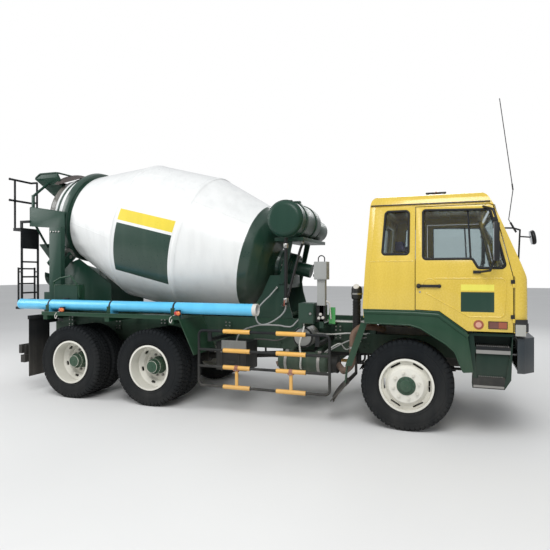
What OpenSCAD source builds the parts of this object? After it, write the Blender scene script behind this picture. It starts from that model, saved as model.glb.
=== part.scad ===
// Concrete mixer truck with two driven rear axles, built as separate pieces.
// Lengths in millimetres. Places along the truck are measured forward of the
// front axle, places across from the middle, heights from the ground.

/* [Wheels] */
// Outer diameter of every tyre
tyre_d = 1020; // [960:5:1060]
// Width of one tyre
tyre_w = 280; // [260:5:290]
// Diameter of the rim where the tyre sits
rim_d = 584; // [560:2:600]
// Distance from the middle to a front tyre's centre
front_track = 1010; // [1000:5:1030]
// Distance from the middle to the centre of a rear twin wheel
rear_track = 922; // [915:1:930]
// Distance between the two tyres of a twin wheel
twin_gap = 325; // [320:1:335]
// Distance from the front axle to the first rear axle
wheelbase = 3320; // [3300:5:3345]
// Distance between the two rear axles
tandem = 1300; // [1260:5:1310]
// Distance from a front tyre's centre in to its steering pivot
kingpin_inset = 105; // [100:1:110]

/* [Chassis] */
// Height of the top of the frame rails
rail_top = 990; // [980:1:995]
// Depth of the frame rails
rail_h = 250; // [230:5:260]
// Distance from the middle to the outer face of a rail
rail_y = 430; // [420:1:440]
// Width of a rail's flanges
rail_flange = 80; // [70:1:90]
// Sheet thickness of the rails
rail_t = 9; // [8:0.5:10]
// Height of the mixer's own frame on top of the rails
sub_h = 160; // [150:1:165]
// Rear end of the rails behind the front axle
rail_back = 5600; // [5580:5:5640]

/* [Cab] */
// Half of the cab's width below the windows
cab_y = 1245; // [1235:1:1255]
// Half of the cab's width at the rain gutter
gutter_y = 1170; // [1160:1:1180]
// Thickness of the cab's walls and doors
cab_wall = 60; // [50:1:65]
// Gap round a door
door_gap = 8; // [8:0.5:10]
// Height of the cab's roof
roof_z = 2640; // [2620:5:2660]
// Distance from the front axle forward to the cab's front panel
cab_front_x = 1215; // [1205:1:1220]

/* [Drum] */
// Slope of the drum's axis, rear end higher
drum_tilt = 13.54; // [13.4:0.01:13.7]
// Distance of the roller ring behind the front axle
ring_x = 5102; // [5090:1:5115]
// Height of the drum's axis at the roller ring
ring_z = 2680; // [2675:1:2690]
// Largest radius of the drum
drum_r = 1052; // [1040:1:1056]
// Outer radius of the ring that runs on the rollers
ring_r = 738; // [730:1:745]
// Thickness of the drum's wall
drum_wall = 10; // [8:1:14]
// Radius of a support roller
roller_r = 120; // [110:1:130]

/* [Rear] */
// Radius of the discharge chute's trough
chute_r = 250; // [230:5:260]
// Length of the main chute
chute_len = 1180; // [1100:10:1190]
// Length of the folding chute piece
extension_len = 800; // [700:10:820]
// Sheet thickness of hopper and chutes
sheet_t = 8; // [6:1:10]

/* [Side] */
// Radius of the side guard's tubes
guard_r = 17; // [14:1:20]
// Distance from the middle to the side guard's tubes
guard_y = 1195; // [1185:1:1205]
// Outer diameter of the pale blue pipe along the side
pipe_d = 150; // [140:5:160]

/* [Hidden] */
$fn = 64;

// Paints
green = "#1e4a35";
dark_green = "#16302a";
black = "#202224";
grey = "#8d9296";
yellow = "#e8c51c";
cream = "#efe6c4";
white = "#f2f2f0";
rubber = "#26272a";
rust = "#6b4a3a";
blue = "#38b4e6";
glass = "#5b7076";

// How far the truck reaches in front of and behind the front axle
front_reach = 1600;
rear_reach = 6172;
front_axle_x = (rear_reach - front_reach) / 2;

axle_z = tyre_d / 2;
kingpin_y = front_track - kingpin_inset;
middle_x = -wheelbase;
rear_x = -wheelbase - tandem;
rail_web = rail_y - rail_t;
rail_inner = rail_y - rail_flange;
rail_bottom = rail_top - rail_h;
sub_top = rail_top + sub_h;
rail_front = 1130;

// Largest turn of one straight stretch in a rounded corner
arc_step = 18;

// Clearances between pieces that move past each other
run_gap = 0.5;
pin_gap = 0.2;

module box(x, y, z) {
  translate([x[0], y[0], z[0]]) cube([x[1] - x[0], y[1] - y[0], z[1] - z[0]]);
}

module both_sides() {
  children();
  mirror([0, 1, 0]) children();
}

module bar(a, b, r) {
  run = b - a;
  translate(a)
    rotate([0, acos(run[2] / norm(run)), atan2(run[1], run[0])])
      cylinder(h = norm(run), r = r);
}

// A bent round bar: straight lengths with a ball at each bend
module bent_bar(points, r) {
  for (i = [1:len(points) - 1]) bar(points[i - 1], points[i], r);
  for (i = [1:1:len(points) - 2]) translate(points[i]) sphere(r = r * 1.03);
}

// A plate whose outline lies in the side view, from y[0] to y[1]
module side_plate(points, y) {
  translate([0, y[1], 0]) rotate([90, 0, 0]) linear_extrude(y[1] - y[0]) polygon(points);
}

// Arc of radius r that rounds corner b of the outline a, b, c
function corner_arc(a, b, c, r) =
  let (u = (a - b) / norm(a - b), v = (c - b) / norm(c - b),
    half = acos(u * v) / 2,
    middle = b + (u + v) / norm(u + v) * r / sin(half),
    from = b + u * r / tan(half) - middle,
    to = b + v * r / tan(half) - middle,
    start = atan2(from[1], from[0]),
    turn = (atan2(to[1], to[0]) - start + 540) % 360 - 180,
    steps = ceil(abs(turn) / arc_step))
  [for (i = [0:steps]) middle + r * [cos(start + turn * i / steps), sin(start + turn * i / steps)]];

// Outline from rows of x, y and corner radius
function rounded(rows) =
  let (n = len(rows), p = [for (c = rows) [c[0], c[1]]])
  [for (i = [0:n - 1]) each rows[i][2] > 0
    ? corner_arc(p[(i + n - 1) % n], p[i], p[(i + 1) % n], rows[i][2]) : [p[i]]];

// Round tube along points, with eight sides: side is a direction it never runs along
module hose(points, r, side) {
  last = len(points) - 1;
  rings = [for (i = [0:last])
    let (run = points[min(i + 1, last)] - points[max(i - 1, 0)],
      u = cross(run, side) / norm(cross(run, side)),
      v = cross(run, u) / norm(run))
    for (k = [0:7]) points[i] + r * (cos(45 * k) * u + sin(45 * k) * v)];
  polyhedron(rings, concat([[for (k = [0:7]) k]], [[for (k = [7:-1:0]) 8 * last + k]],
    [for (i = [0:last - 1]) for (k = [0:7])
      [8 * i + k, 8 * i + 8 + k, 8 * i + 8 + (k + 1) % 8, 8 * i + (k + 1) % 8]]));
}

// Vessel with dished ends: its axis runs along z from 0
module vessel(r, length, dish) {
  rotate_extrude() polygon(concat([[0, 0]], [for (a = [0:15:90])
    [r - dish + dish * sin(a), dish - dish * cos(a)]], [for (a = [90:-15:0])
    [r - dish + dish * sin(a), length - dish + dish * cos(a)]], [[0, length]]));
}

// Everything is drawn from the front axle and moved to the truck's middle
module truck() {
  translate([front_axle_x, 0, 0]) children();
}

// Drum frame: x runs forward along the axis from the roller ring
module drum_frame() {
  truck() translate([-ring_x, 0, ring_z]) rotate([0, drum_tilt, 0]) children();
}

// Chassis

cross_x = [1060, -560, -1750, -2650, -3970, -5100];
tow_x = rail_front + 20;
tow_z = 860;
tow_bore_r = 21;
// Axis that the cab tilts about
tilt_x = 1172;
tilt_z = 1125;
tilt_pin_r = 10;

module frame_rails() {
  color(dark_green) truck() difference() {
    union() {
      both_sides() {
        box([-rail_back, rail_front], [rail_web, rail_y], [rail_bottom, rail_top]);
        box([-rail_back, rail_front], [rail_inner, rail_web + 1], [rail_top - rail_t, rail_top]);
        box([-rail_back, rail_front], [rail_inner, rail_web + 1],
          [rail_bottom, rail_bottom + rail_t]);
      }
      for (x = cross_x) box([x - 40, x + 40], [-rail_web - 1, rail_web + 1], [790, 900]);
      box([-rail_back, -rail_back + 12], [-rail_web - 1, rail_web + 1],
        [rail_bottom, rail_top]);
      // Cheeks and pins that the cab tilts on
      both_sides() {
        side_plate([[1040, rail_top - 1], [1110, rail_top - 1], [1112, 1103], [1192, 1103],
          [1192, 1145], [1040, 1145]], [300, 330]);
        box([1040, 1110], [329, rail_web + 1], [rail_top - 10, rail_top]);
        translate([tilt_x, 300, tilt_z]) rotate([-90, 0, 0]) cylinder(h = 75, r = tilt_pin_r);
      }
      // Tow eye blocks at both ends
      box([1090, tow_x + 60], [-60, 60], [790, 930]);
      box([-rail_back - 120, -rail_back + 1], [-60, 60], [790, 930]);
    }
    translate([tow_x + 20, 0, 700]) cylinder(h = 400, r = tow_bore_r);
    translate([-rail_back - 70, 0, 700]) cylinder(h = 400, r = tow_bore_r);
    // Slot that takes the towing eye
    box([1110, tow_x + 61], [-61, 61], [835, 885]);
    box([-rail_back - 121, -rail_back - 20], [-61, 61], [835, 885]);
  }
}

sub_front = -600;
sub_back = -5460;

module subframe() {
  color(green) truck() {
    both_sides()
      box([sub_back, sub_front], [rail_inner, rail_y], [rail_top, sub_top]);
    for (x = [-700, -2350, -3100, -3970, -5000])
      box([x - 30, x + 30], [-rail_inner - 1, rail_inner + 1], [rail_top + 10, sub_top - 50]);
  }
}

module engine() {
  color(grey) truck() {
    box([-450, 740], [-320, 320], [620, 1080]);
    both_sides() for (x = [-250, 450]) box([x - 60, x + 60], [319, rail_web], [800, 880]);
    // Radiator ahead of the block, on its own feet
    box([840, 920], [-330, 330], [640, 1080]);
    both_sides() box([850, 910], [329, rail_web], [800, 860]);
  }
}

beam_z = [axle_z - 95, axle_z - 5];
boss_z = [axle_z - 60, axle_z + 60];

module front_axle() {
  color(black) truck() difference() {
    union() {
      box([-45, 45], [-760, 760], beam_z);
      both_sides() {
        // The beam rises to the pivot at its outer end
        box([-38, 38], [740, kingpin_y], [boss_z[0], boss_z[1]]);
        translate([0, kingpin_y, boss_z[0]]) cylinder(h = boss_z[1] - boss_z[0], r = 45);
        // Spring seat
        box([-70, 70], [380, 470], [beam_z[1] - 1, 565]);
      }
    }
    both_sides() translate([0, kingpin_y, 0]) cylinder(h = 900, r = 22 + pin_gap);
  }
}

axle_tube_r = 70;
hub_face_y = 640;

// Rear leaf springs: bow radius and thickness of a leaf, top of the pack
leaf_r = 3400;
leaf_t = 22;
leaf_top = 690;
rear_spring_y = [440, 540];
// Pads on the rear axles reach up to the longest leaf
pad_half = 30;
pad_top = leaf_top - leaf_r
  + sqrt(pow(leaf_r - leaf_t, 2) - pow(tandem / 2 + pad_half, 2)) - 0.1;

module rear_axles() {
  color(black) truck() for (x = [middle_x, rear_x]) {
    translate([x, -hub_face_y + run_gap, axle_z]) rotate([-90, 0, 0])
      cylinder(h = 2 * (hub_face_y - run_gap), r = axle_tube_r);
    translate([x, 0, axle_z]) sphere(r = 185);
    translate([x, 0, axle_z]) rotate([0, 90, 0]) cylinder(h = 300, r = 90);
    both_sides() box([x - pad_half, x + pad_half], rear_spring_y, [axle_z + 40, pad_top]);
  }
  // Propeller shafts from the engine back to each axle
  color(black) truck() {
    bar([middle_x + 300, 0, axle_z], [-465, 0, 700], 45);
    bar([rear_x + 300, 0, axle_z], [middle_x - 150, 0, axle_z + 20], 40);
  }
}

spring_w = 90;
spring_y = [380, 470];
trunnion_x = (middle_x + rear_x) / 2;

// Leaf number n of the rear pack, counted down from the longest
module leaf(n, half) {
  r_out = leaf_r - n * (leaf_t - 0.5);
  translate([trunnion_x, rear_spring_y[1], leaf_top - leaf_r]) rotate([90, 0, 0])
    linear_extrude(rear_spring_y[1] - rear_spring_y[0]) intersection() {
      difference() {
        circle(r = r_out, $fn = 256);
        circle(r = r_out - leaf_t, $fn = 256);
      }
      translate([-half, 0]) square([2 * half, r_out + 1]);
    }
}

module springs() {
  color(black) truck() {
    both_sides() {
      // Front leaves bow downward: the pack is drawn as a straight stack
      box([-700, 700], spring_y, [600, 618]);
      box([-520, 520], spring_y, [583, 600.5]);
      box([-340, 340], spring_y, [565, 583.5]);
      // Hangers up to the rails
      for (x = [-670, 670])
        box([x - 35, x + 35], [rail_y - 50, rail_y + 35], [617, rail_bottom]);
      // Rear pack over both axles, on a trunnion bracket
      leaf(0, tandem / 2 + 40);
      leaf(1, tandem / 2 - 90);
      leaf(2, tandem / 2 - 250);
      box([trunnion_x - 90, trunnion_x + 90], rear_spring_y, [520, 640]);
      box([trunnion_x - 110, trunnion_x + 110], [rail_y - 70, rear_spring_y[0] + 1],
        [480, rail_bottom]);
    }
    translate([trunnion_x, -400, 640]) rotate([-90, 0, 0]) cylinder(h = 800, r = 45);
  }
}

// Side equipment between the axles

module side_tanks() {
  color(green) truck() {
    // Air tank on the right, fuel tank on the left
    translate([-1590, -860, 660]) rotate([0, 90, 0]) vessel(125, 640, 50);
    for (x = [-1450, -1100]) box([x - 25, x + 25], [-860, -rail_y], [760, 800]);
    translate([-2060, 0, 0]) side_plate([[0, 480], [60, 440], [920, 440], [980, 480],
      [980, 980], [920, 1020], [60, 1020], [0, 980]], [620, 1120]);
    for (x = [-1850, -1250]) box([x - 30, x + 30], [rail_y, 621], [780, 860]);
  }
}

module battery_box() {
  color(black) truck() {
    box([-2450, -2020], [-950, -560], [500, 870]);
    for (x = [-2380, -2100]) box([x - 25, x + 25], [-561, -rail_y], [800, 840]);
    // Round air cleaner behind the guard
    translate([-1300, -820, 960]) rotate([-90, 0, 0]) cylinder(h = 300, r = 130);
    box([-1330, -1270], [-521, -rail_y], [900, 960]);
  }
}

guard_x = [-2570, -860];
guard_z = [1040, 800, 590, 345];
guard_bend = 60;
sleeve_x = [[-2226, -1859], [-1521, -1144]];
sleeve_r = 26;

module guard_side() {
  for (i = [0:3]) {
    inset = (i == 0 || i == 3) ? guard_bend : 0;
    bar([guard_x[0] + inset, guard_y, guard_z[i]], [guard_x[1] - inset, guard_y, guard_z[i]],
      guard_r);
    for (s = sleeve_x) bar([s[0], guard_y, guard_z[i]], [s[1], guard_y, guard_z[i]], sleeve_r);
  }
  for (x = guard_x) bar([x, guard_y, guard_z[3] + guard_bend],
    [x, guard_y, guard_z[0] - guard_bend], guard_r);
  for (c = [[0, 0, 90], [1, 0, 0], [0, 3, 180], [1, 3, 270]]) {
    sx = c[0] == 0 ? 1 : -1;
    sz = c[1] == 0 ? -1 : 1;
    translate([guard_x[c[0]] + sx * guard_bend, guard_y, guard_z[c[1]] + sz * guard_bend])
      rotate([90, 0, 0]) rotate([0, 0, c[2]])
        rotate_extrude(angle = 90) translate([guard_bend, 0]) circle(r = guard_r, $fn = 32);
  }
  for (s = sleeve_x) bar([(s[0] + s[1]) / 2, guard_y, guard_z[3]],
    [(s[0] + s[1]) / 2, guard_y, guard_z[2]], 20);
  for (x = [guard_x[0] + 150, guard_x[1] - 150])
    box([x - 25, x + 25], [rail_y, guard_y], [905, 945]);
  for (x = [guard_x[0] + 150, guard_x[1] - 150])
    box([x - 25, x + 25], [guard_y - 20, guard_y], [905, 1040]);
}

module side_guards() {
  color(black) truck() both_sides() guard_side();
}

fender_x = [-5100, -2830];
fender_y = [620, 1240];
fender_z = 1165;
marker_x = [-4740, -2860];
locker_x = [-5090, -4640];

module rear_fenders() {
  color(green) truck() both_sides() {
    // Stay behind the front wheel
    side_plate([[-488, 1190], [-474, 1190], [-655, 700], [-672, 505], [-688, 505], [-669, 700]],
      [1125, 1180]);
    box(fender_x, fender_y, [fender_z, fender_z + 8]);
    box(fender_x, [fender_y[1] - 8, fender_y[1]], [fender_z, fender_z + 45]);
    side_plate([[fender_x[1] - 1, fender_z + 8], [fender_x[1], fender_z + 8],
      [-2615, 725], [-2628, 725], [fender_x[1] - 10, fender_z]], fender_y);
    for (x = [-2960, -3970, -5040])
      box([x - 35, x + 35], [rail_y, fender_y[1] - 8], [fender_z - 60, fender_z + 1]);
    // Marker lamps on the outer edge
    for (x = marker_x) box([x - 25, x + 25], [fender_y[1] - 40, fender_y[1]],
      [fender_z + 7, fender_z + 120]);
  }
  // Locker behind the side pipe, with a bent tube over it
  color(green) truck() {
    box([locker_x[0], locker_x[1]], [-1010, -880], [fender_z + 7, 1600]);
    bent_bar([[locker_x[0] - 12, -1000, 1560], [locker_x[0] - 12, -1000, 1640],
      [locker_x[0] + 110, -1000, 1697], [locker_x[0] + 300, -1000, 1727],
      [locker_x[1] - 50, -1000, 1620], [locker_x[1] + 12, -1000, 1420]], 13);
  }
}

// Rear mud flaps behind the last wheels
flap_x = rear_x - 740;

module mud_flaps() {
  color(black) truck() both_sides() {
    box([flap_x, flap_x + 12], [830, 1220], [260, 1130]);
    box([flap_x, flap_x + 40], [rail_y, 1240], [1095, 1150]);
    // Flap behind the front wheel and the arm that carries it
    side_plate([[-690, 505], [-678, 505], [-680, 470], [-850, 270], [-862, 278], [-692, 475]],
      [900, 1180]);
    box([-700, -670], [499, 1180], [470, 505]);
    box([-700, -670], [470, 500], [470, 791]);
    box([-700, -670], [rail_y, 471], [745, 791]);
  }
}

bumper_x = [rail_front, 1287];
bumper_z = [738, 1100];
bumper_y = 1220;
lamp_back = 1262;

module front_bumper() {
  color(black) truck() difference() {
    linear_extrude_z(bumper_z) polygon([[bumper_x[0], -1130], [1116, -1190], [1116, -bumper_y],
      [1180, -bumper_y], [bumper_x[1], -1080], [bumper_x[1], 1080], [1180, bumper_y],
      [1116, bumper_y], [1116, 1190], [bumper_x[0], 1130]]);
    // Lamp pockets, each round a pair of headlamps
    both_sides() difference() {
      box([lamp_back, 1300], [720, 1040], [880, 1010]);
      for (y = [800, 960]) translate([lamp_back - 1, y, 945]) rotate([0, 90, 0])
        cylinder(h = 1285 - lamp_back, r = 56);
    }
    // Way for the tow eye and its pin
    box([1100, 1300], [-80, 80], [800, 920]);
    box([1100, 1240], [-80, 80], [700, 800]);
    // Hollow back, closed at the bottom
    box([1100, 1240], [-1100, 1100], [760, 1085]);
  }
}

module linear_extrude_z(z) {
  translate([0, 0, z[0]]) linear_extrude(z[1] - z[0]) children();
}

module rear_bumper() {
  color(black) truck() {
    box([-5640, -5560], [-1100, 1100], [430, 540]);
    both_sides() {
      box([-5630, -5590], [330, 400], [539, rail_bottom]);
      box([-5690, -5639], [760, 1080], [560, 690]);
      box([-5640, -5600], [800, 1040], [539, 680]);
    }
    // Arm and post that the chute swings on
    box([swivel_x - 45, -rail_back], [-50, 50], [940, rail_top]);
    translate([swivel_x, 0, 940]) cylinder(h = post_top - 940, r = 45);
  }
}

// Drum and its supports

// Mouth of the drum: its rear edge, and the lip that it ends in
mouth_s = -520;
mouth_r = 530;
lip_s = -365;

// Outer outline of the drum: distance forward of the ring, radius
drum_profile = [
  [mouth_s, mouth_r], [lip_s, mouth_r + 30], [lip_s, 604], [-110, 662],
  [-110, ring_r], [0, ring_r], [0, 690], [60, 702], [1092, drum_r], [2133, 1040],
  [2984, 780], [3110, 715], [3210, 590], [3280, 420], [3310, 220], [3360, 220]];
// Inner outline, from the head back to the mouth
drum_inner = [
  [3270, 0], [3290, 220], [3262, 410], [3196, 575], [3100, 700],
  [2980, 780 - drum_wall], [2133, 1040 - drum_wall], [1092, drum_r - drum_wall],
  [60, 702 - drum_wall], [-110, 662 - drum_wall], [lip_s + 25, 606 - drum_wall],
  [lip_s + 15, mouth_r + 30 - drum_wall], [mouth_s, mouth_r - drum_wall]];

module drum() {
  points = concat([[3360, 0]], drum_inner, drum_profile);
  color(white) drum_frame() rotate([0, 90, 0])
    rotate_extrude($fn = 96) polygon([for (p = points) [p[1], p[0]]]);
}

roller_angle = 40;
roller_reach = ring_r + roller_r + run_gap;
roller_s = [-120, 10];

module roller(side) {
  color(grey) drum_frame() rotate([side * roller_angle, 0, 0])
    translate([0, 0, -roller_reach]) rotate([0, 90, 0]) {
      translate([0, 0, roller_s[0]]) cylinder(h = roller_s[1] - roller_s[0], r = roller_r);
      translate([0, 0, roller_s[0] - 60]) cylinder(h = roller_s[1] - roller_s[0] + 120, r = 30);
    }
}

module roller_left() roller(1);
module roller_right() roller(-1);

post_x = [-5330, -5110];
post_y = [765, 855];

module rear_pedestal() {
  color(dark_green) {
    truck() {
      both_sides() {
        // Upright posts beside the ring, and the plates that carry the hopper
        box(post_x, post_y, [sub_top, 2470]);
        side_plate([[-5790, 2505], [-5110, 2450], [-5110, 2700], [-5790, 2810]],
          [post_y[0], post_y[0] + 12]);
        // Side sheets below the drum's cone
        side_plate([[-5430, sub_top], [-4520, sub_top], [-4520, 1600], [-5140, 1995],
          [-5430, 1900]], [rail_y - 20, rail_y]);
        box(post_x, [rail_y - 1, post_y[1]], [sub_top, sub_top + 110]);
      }
      box([-5430, -5330], [-post_y[1], post_y[1]], [sub_top + 200, sub_top + 330]);
      both_sides() box([-5331, -5329], post_y, [sub_top + 200, sub_top + 330]);
    }
    roller_cradle();
  }
}

// Two cheeks hold each roller's shaft
module roller_cradle() {
  for (side = [-1, 1]) difference() {
    drum_frame() rotate([side * roller_angle, 0, 0]) for (s = [-175, 35])
      translate([s, -70, -roller_reach - 260]) cube([30, 140, 300]);
    drum_frame() rotate([side * roller_angle, 0, 0])
      translate([-300, 0, -roller_reach]) rotate([0, 90, 0])
        cylinder(h = 600, r = 30 + pin_gap);
  }
}

module front_pedestal() {
  color(dark_green) truck() {
    both_sides() side_plate([[-2170, sub_top], [-1560, sub_top], [-1660, 1500], [-1690, 1740],
      [-1890, 1740], [-2010, 1480], [-2150, 1290]], [rail_y - 40, rail_y - 15]);
    box([-1890, -1700], [-rail_y + 39, rail_y - 39], [1560, 1620]);
    box([-1760, -1700], [-rail_y + 39, rail_y - 39], [sub_top, 1200]);
  }
}

drive_s = [3360 + run_gap, 3640];

module drum_drive() {
  color(black) {
    drum_frame() rotate([0, 90, 0]) {
      translate([0, 0, drive_s[0]]) cylinder(h = 40, r = 215);
      translate([0, 0, drive_s[0] + 39]) cylinder(h = 180, r = 180);
      translate([0, 0, drive_s[0] + 200]) cylinder(h = 230, r = 95);
    }
    // Saddle between gearbox and pedestal
    truck() difference() {
      box([-1850, -1640], [-160, 160], [1620, 1760]);
      drum_gap();
    }
  }
}

// Room for the gearbox in its saddle
module drum_gap() {
  translate([-ring_x, 0, ring_z]) rotate([0, drum_tilt, 0]) rotate([0, 90, 0])
    translate([0, 0, 3200]) cylinder(h = 160.5, r = 300);
}

tank_x = -1520;
tank_z = 2460;
tank_r = 235;

drop_x = -1530;
drop_y = -800;
drop_z = 1361;

module water_tank() {
  color(green) truck() {
    translate([tank_x, -930, tank_z]) rotate([-90, 0, 0]) {
      vessel(tank_r, 1030, 70);
      // Straps round the tank
      for (y = [250, 700]) translate([0, 0, y]) cylinder(h = 50, r = tank_r + 6);
    }
    translate([tank_x + 40, 99, tank_z - 60]) rotate([-90, 0, 0]) cylinder(h = 450, r = 160);
    // Pipe down from the tank
    bar([drop_x, drop_y, tank_z - tank_r + 20], [drop_x, drop_y, drop_z], 22);
    // Shelf, legs and cross bar on the pedestal
    box([-1720, -1330], [-700, 450], [2190, 2235]);
    both_sides() side_plate([[-1760, 1620], [-1690, 1620], [-1560, 2191], [-1640, 2191]],
      [rail_y - 15, rail_y + 10]);
  }
}

// Sheet that narrows downward: each section is height, rear end, front end and half width
module sheet_shell(outer, room, t) {
  difference() {
    hull() for (c = outer) box([c[1], c[2]], [-c[3], c[3]], [c[0], c[0] + 1]);
    hull() for (c = room) box([c[1] + t, c[2] - t], [-c[3] + t, c[3] - t], [c[0], c[0] + 1]);
  }
}

// Sections of the hopper, and of the room in it, which is open at both ends
hopper_bottom = [2960, -5720, -5520, 200];
hopper_rim = [3325, -6045, -5575, 430];
hopper_top = [3400, -5930, -5580, 430];
stay_x = -5750;

module hopper() {
  color(dark_green) truck() {
    sheet_shell([hopper_bottom, hopper_rim, hopper_top],
      [hopper_bottom - [1, 0, 0, 0], hopper_rim, hopper_rim + [140, 0, 0, 0]], sheet_t);
    // Arms down to the pedestal's plates
    both_sides() {
      box([stay_x - 20, stay_x + 20], [post_y[0] - 30, post_y[0]], [2700, 3000]);
      bar([stay_x, post_y[0] - 15, 2980], [stay_x - 50, 381, 3250], 20);
    }
  }
}

// Sections of the funnel below the drum's mouth
funnel_bottom = [1960, -5960, -5800, 150];
funnel_rim = [2240, -6000, -5690, 380];

module discharge_funnel() {
  color(dark_green) truck() {
    sheet_shell([funnel_bottom, funnel_rim],
      [funnel_bottom - [1, 0, 0, 0], funnel_rim + [1, 0, 0, 0]], sheet_t);
    both_sides() {
      box([stay_x + 20, stay_x + 60], [post_y[0] - 30, post_y[0]], [2510, 2600]);
      bar([stay_x + 40, post_y[0] - 15, 2530], [stay_x - 100, 353, 2200], 18);
    }
  }
}

platform_x = [-6100, -5940];
platform_y = [-810, -450];
platform_z = 2470;
platform_edge = 18;
ladder_x = -5960;
ladder_y = [-775, -450];
rung_z = [2210, 1950, 1710, 1455, 1250];
handrail_z = [2920, 3250];
rail_out = [platform_x[0] + platform_edge, platform_y[0] + platform_edge];
rail_in = [platform_x[1] - platform_edge, platform_y[1] - platform_edge];

module platform() {
  color(black) truck() {
    box(platform_x, platform_y, [platform_z - 30, platform_z]);
    box([platform_x[1] - 10, platform_x[1]], platform_y, [2160, platform_z - 29]);
    // Ladder uprights and rungs
    for (y = ladder_y) bar([ladder_x, y, 1200], [ladder_x, y, platform_z - 29], 18);
    for (z = rung_z) bar([ladder_x, ladder_y[0], z], [ladder_x, ladder_y[1], z], 13);
    // Handrail: two posts, and two rails that reach past the outer post
    for (p = [rail_out, rail_in])
      bar([p[0], p[1], platform_z - 1], [p[0], p[1], handrail_z[1]], 16);
    for (z = handrail_z) {
      bar([rail_out[0], rail_out[1] - 90, z], [rail_out[0], rail_in[1], z], 16.5);
      bar([rail_out[0], rail_in[1], z], [rail_in[0], rail_in[1], z], 16.5);
    }
    // Brackets to the pedestal and the frame
    box([platform_x[1] - 1, -5790], [-790, -765], [2560, 2600]);
    box([platform_x[1] - 40, platform_x[1] - 1], [-790, -765], [platform_z - 1, 2600]);
    box([ladder_x, -rail_back + 1], [-640, -600], [1200, 1240]);
    box([-rail_back - 40, -rail_back], [-640, -rail_y + 30], [980, 1240]);
    box([ladder_x - 10, ladder_x + 10], ladder_y, [1200, 1240]);
    // Hinge cheeks and stops of the lower ladder
    for (y = [ladder_y[0] - 30 - run_gap, ladder_y[1] + 30 + run_gap + 6]) {
      box([lower_x - 20, ladder_x + 10], [y - 6, y], [1200, 1240]);
    }
    box([ladder_x - 10, ladder_x + 10], [ladder_y[0] - 36, ladder_y[0]], [1200, 1240]);
    box([ladder_x - 10, ladder_x + 10], [ladder_y[1], ladder_y[1] + 36], [1200, 1240]);
    for (y = ladder_y) box([lower_x + 15.3, ladder_x], [y - 8, y + 8], [1780, 1800]);
  }
}

lower_x = ladder_x - 70;
hinge_z = 1220;

module ladder_lower() {
  color(black) truck() {
    for (y = ladder_y) bar([lower_x, y, hinge_z - 20], [lower_x, y, hinge_z + 640], 15);
    for (z = [hinge_z + 120, hinge_z + 380, hinge_z + 620])
      bar([lower_x, ladder_y[0], z], [lower_x, ladder_y[1], z], 12);
    bar([lower_x, ladder_y[0] - 30, hinge_z], [lower_x, ladder_y[1] + 30, hinge_z], 20);
  }
}

pipe_x = [-5620, -1800];
pipe_y = -1105;
pipe_z = 1310;

module side_pipe() {
  color(blue) truck() {
    difference() {
      translate([pipe_x[0], pipe_y, pipe_z]) rotate([0, 90, 0])
        cylinder(h = pipe_x[1] - pipe_x[0], r = pipe_d / 2);
      translate([pipe_x[0] - 1, pipe_y, pipe_z]) rotate([0, 90, 0])
        cylinder(h = pipe_x[1] - pipe_x[0] + 2, r = pipe_d / 2 - 6);
    }
    for (x = [-2960, -3970, -5040]) difference() {
      box([x - 30, x + 30], [pipe_y - 90, pipe_y + 90], [fender_z + 8, pipe_z]);
      translate([x - 31, pipe_y, pipe_z]) rotate([0, 90, 0]) cylinder(h = 62, r = pipe_d / 2 - 1);
    }
  }
}

module exhaust() {
  color(rust) truck() {
    bent_bar([[-370, -326, 1040], [-390, -760, 1110], [-530, -1060, 1150], [-612, -1080, 1050],
      [-615, -1080, 700], [-720, -1050, 600], [-895, -580, 600]], 38);
    translate([-1320, -570, 600]) rotate([0, 90, 0]) cylinder(h = 440, r = 110);
    box([-1240, -1200], [-590, -rail_y], [700, 735]);
    box([-1240, -1200], [-rail_y - 20, -rail_y], [734, 790]);
  }
}

module control_stand() {
  color(green) truck() {
    // Box and lever stand behind the cab, on cross beams
    box([-1300, -1110], [-1000, -760], [sub_top, 1400]);
    box([-1300, -1250], [-1000, -rail_y], [sub_top - 60, sub_top]);
    box([-1110, -960], [-960, -800], [1690, 1910]);
    box([-1060, -1010], [-900, -860], [sub_top - 1, 1691]);
    box([-1060, -1010], [-900, -rail_y], [sub_top - 60, sub_top]);
    // Arch that carries the cab's rear end
    both_sides() box([-520, -440], [350, 430], [rail_top, 1200]);
    box([-520, -440], [-431, 431], [1140, 1200]);
  }
}

// Hoses between the tank's pipe, the pedestal, the control box and the air tank
pedestal_face = -(rail_y - 15) - 0.2;

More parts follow.
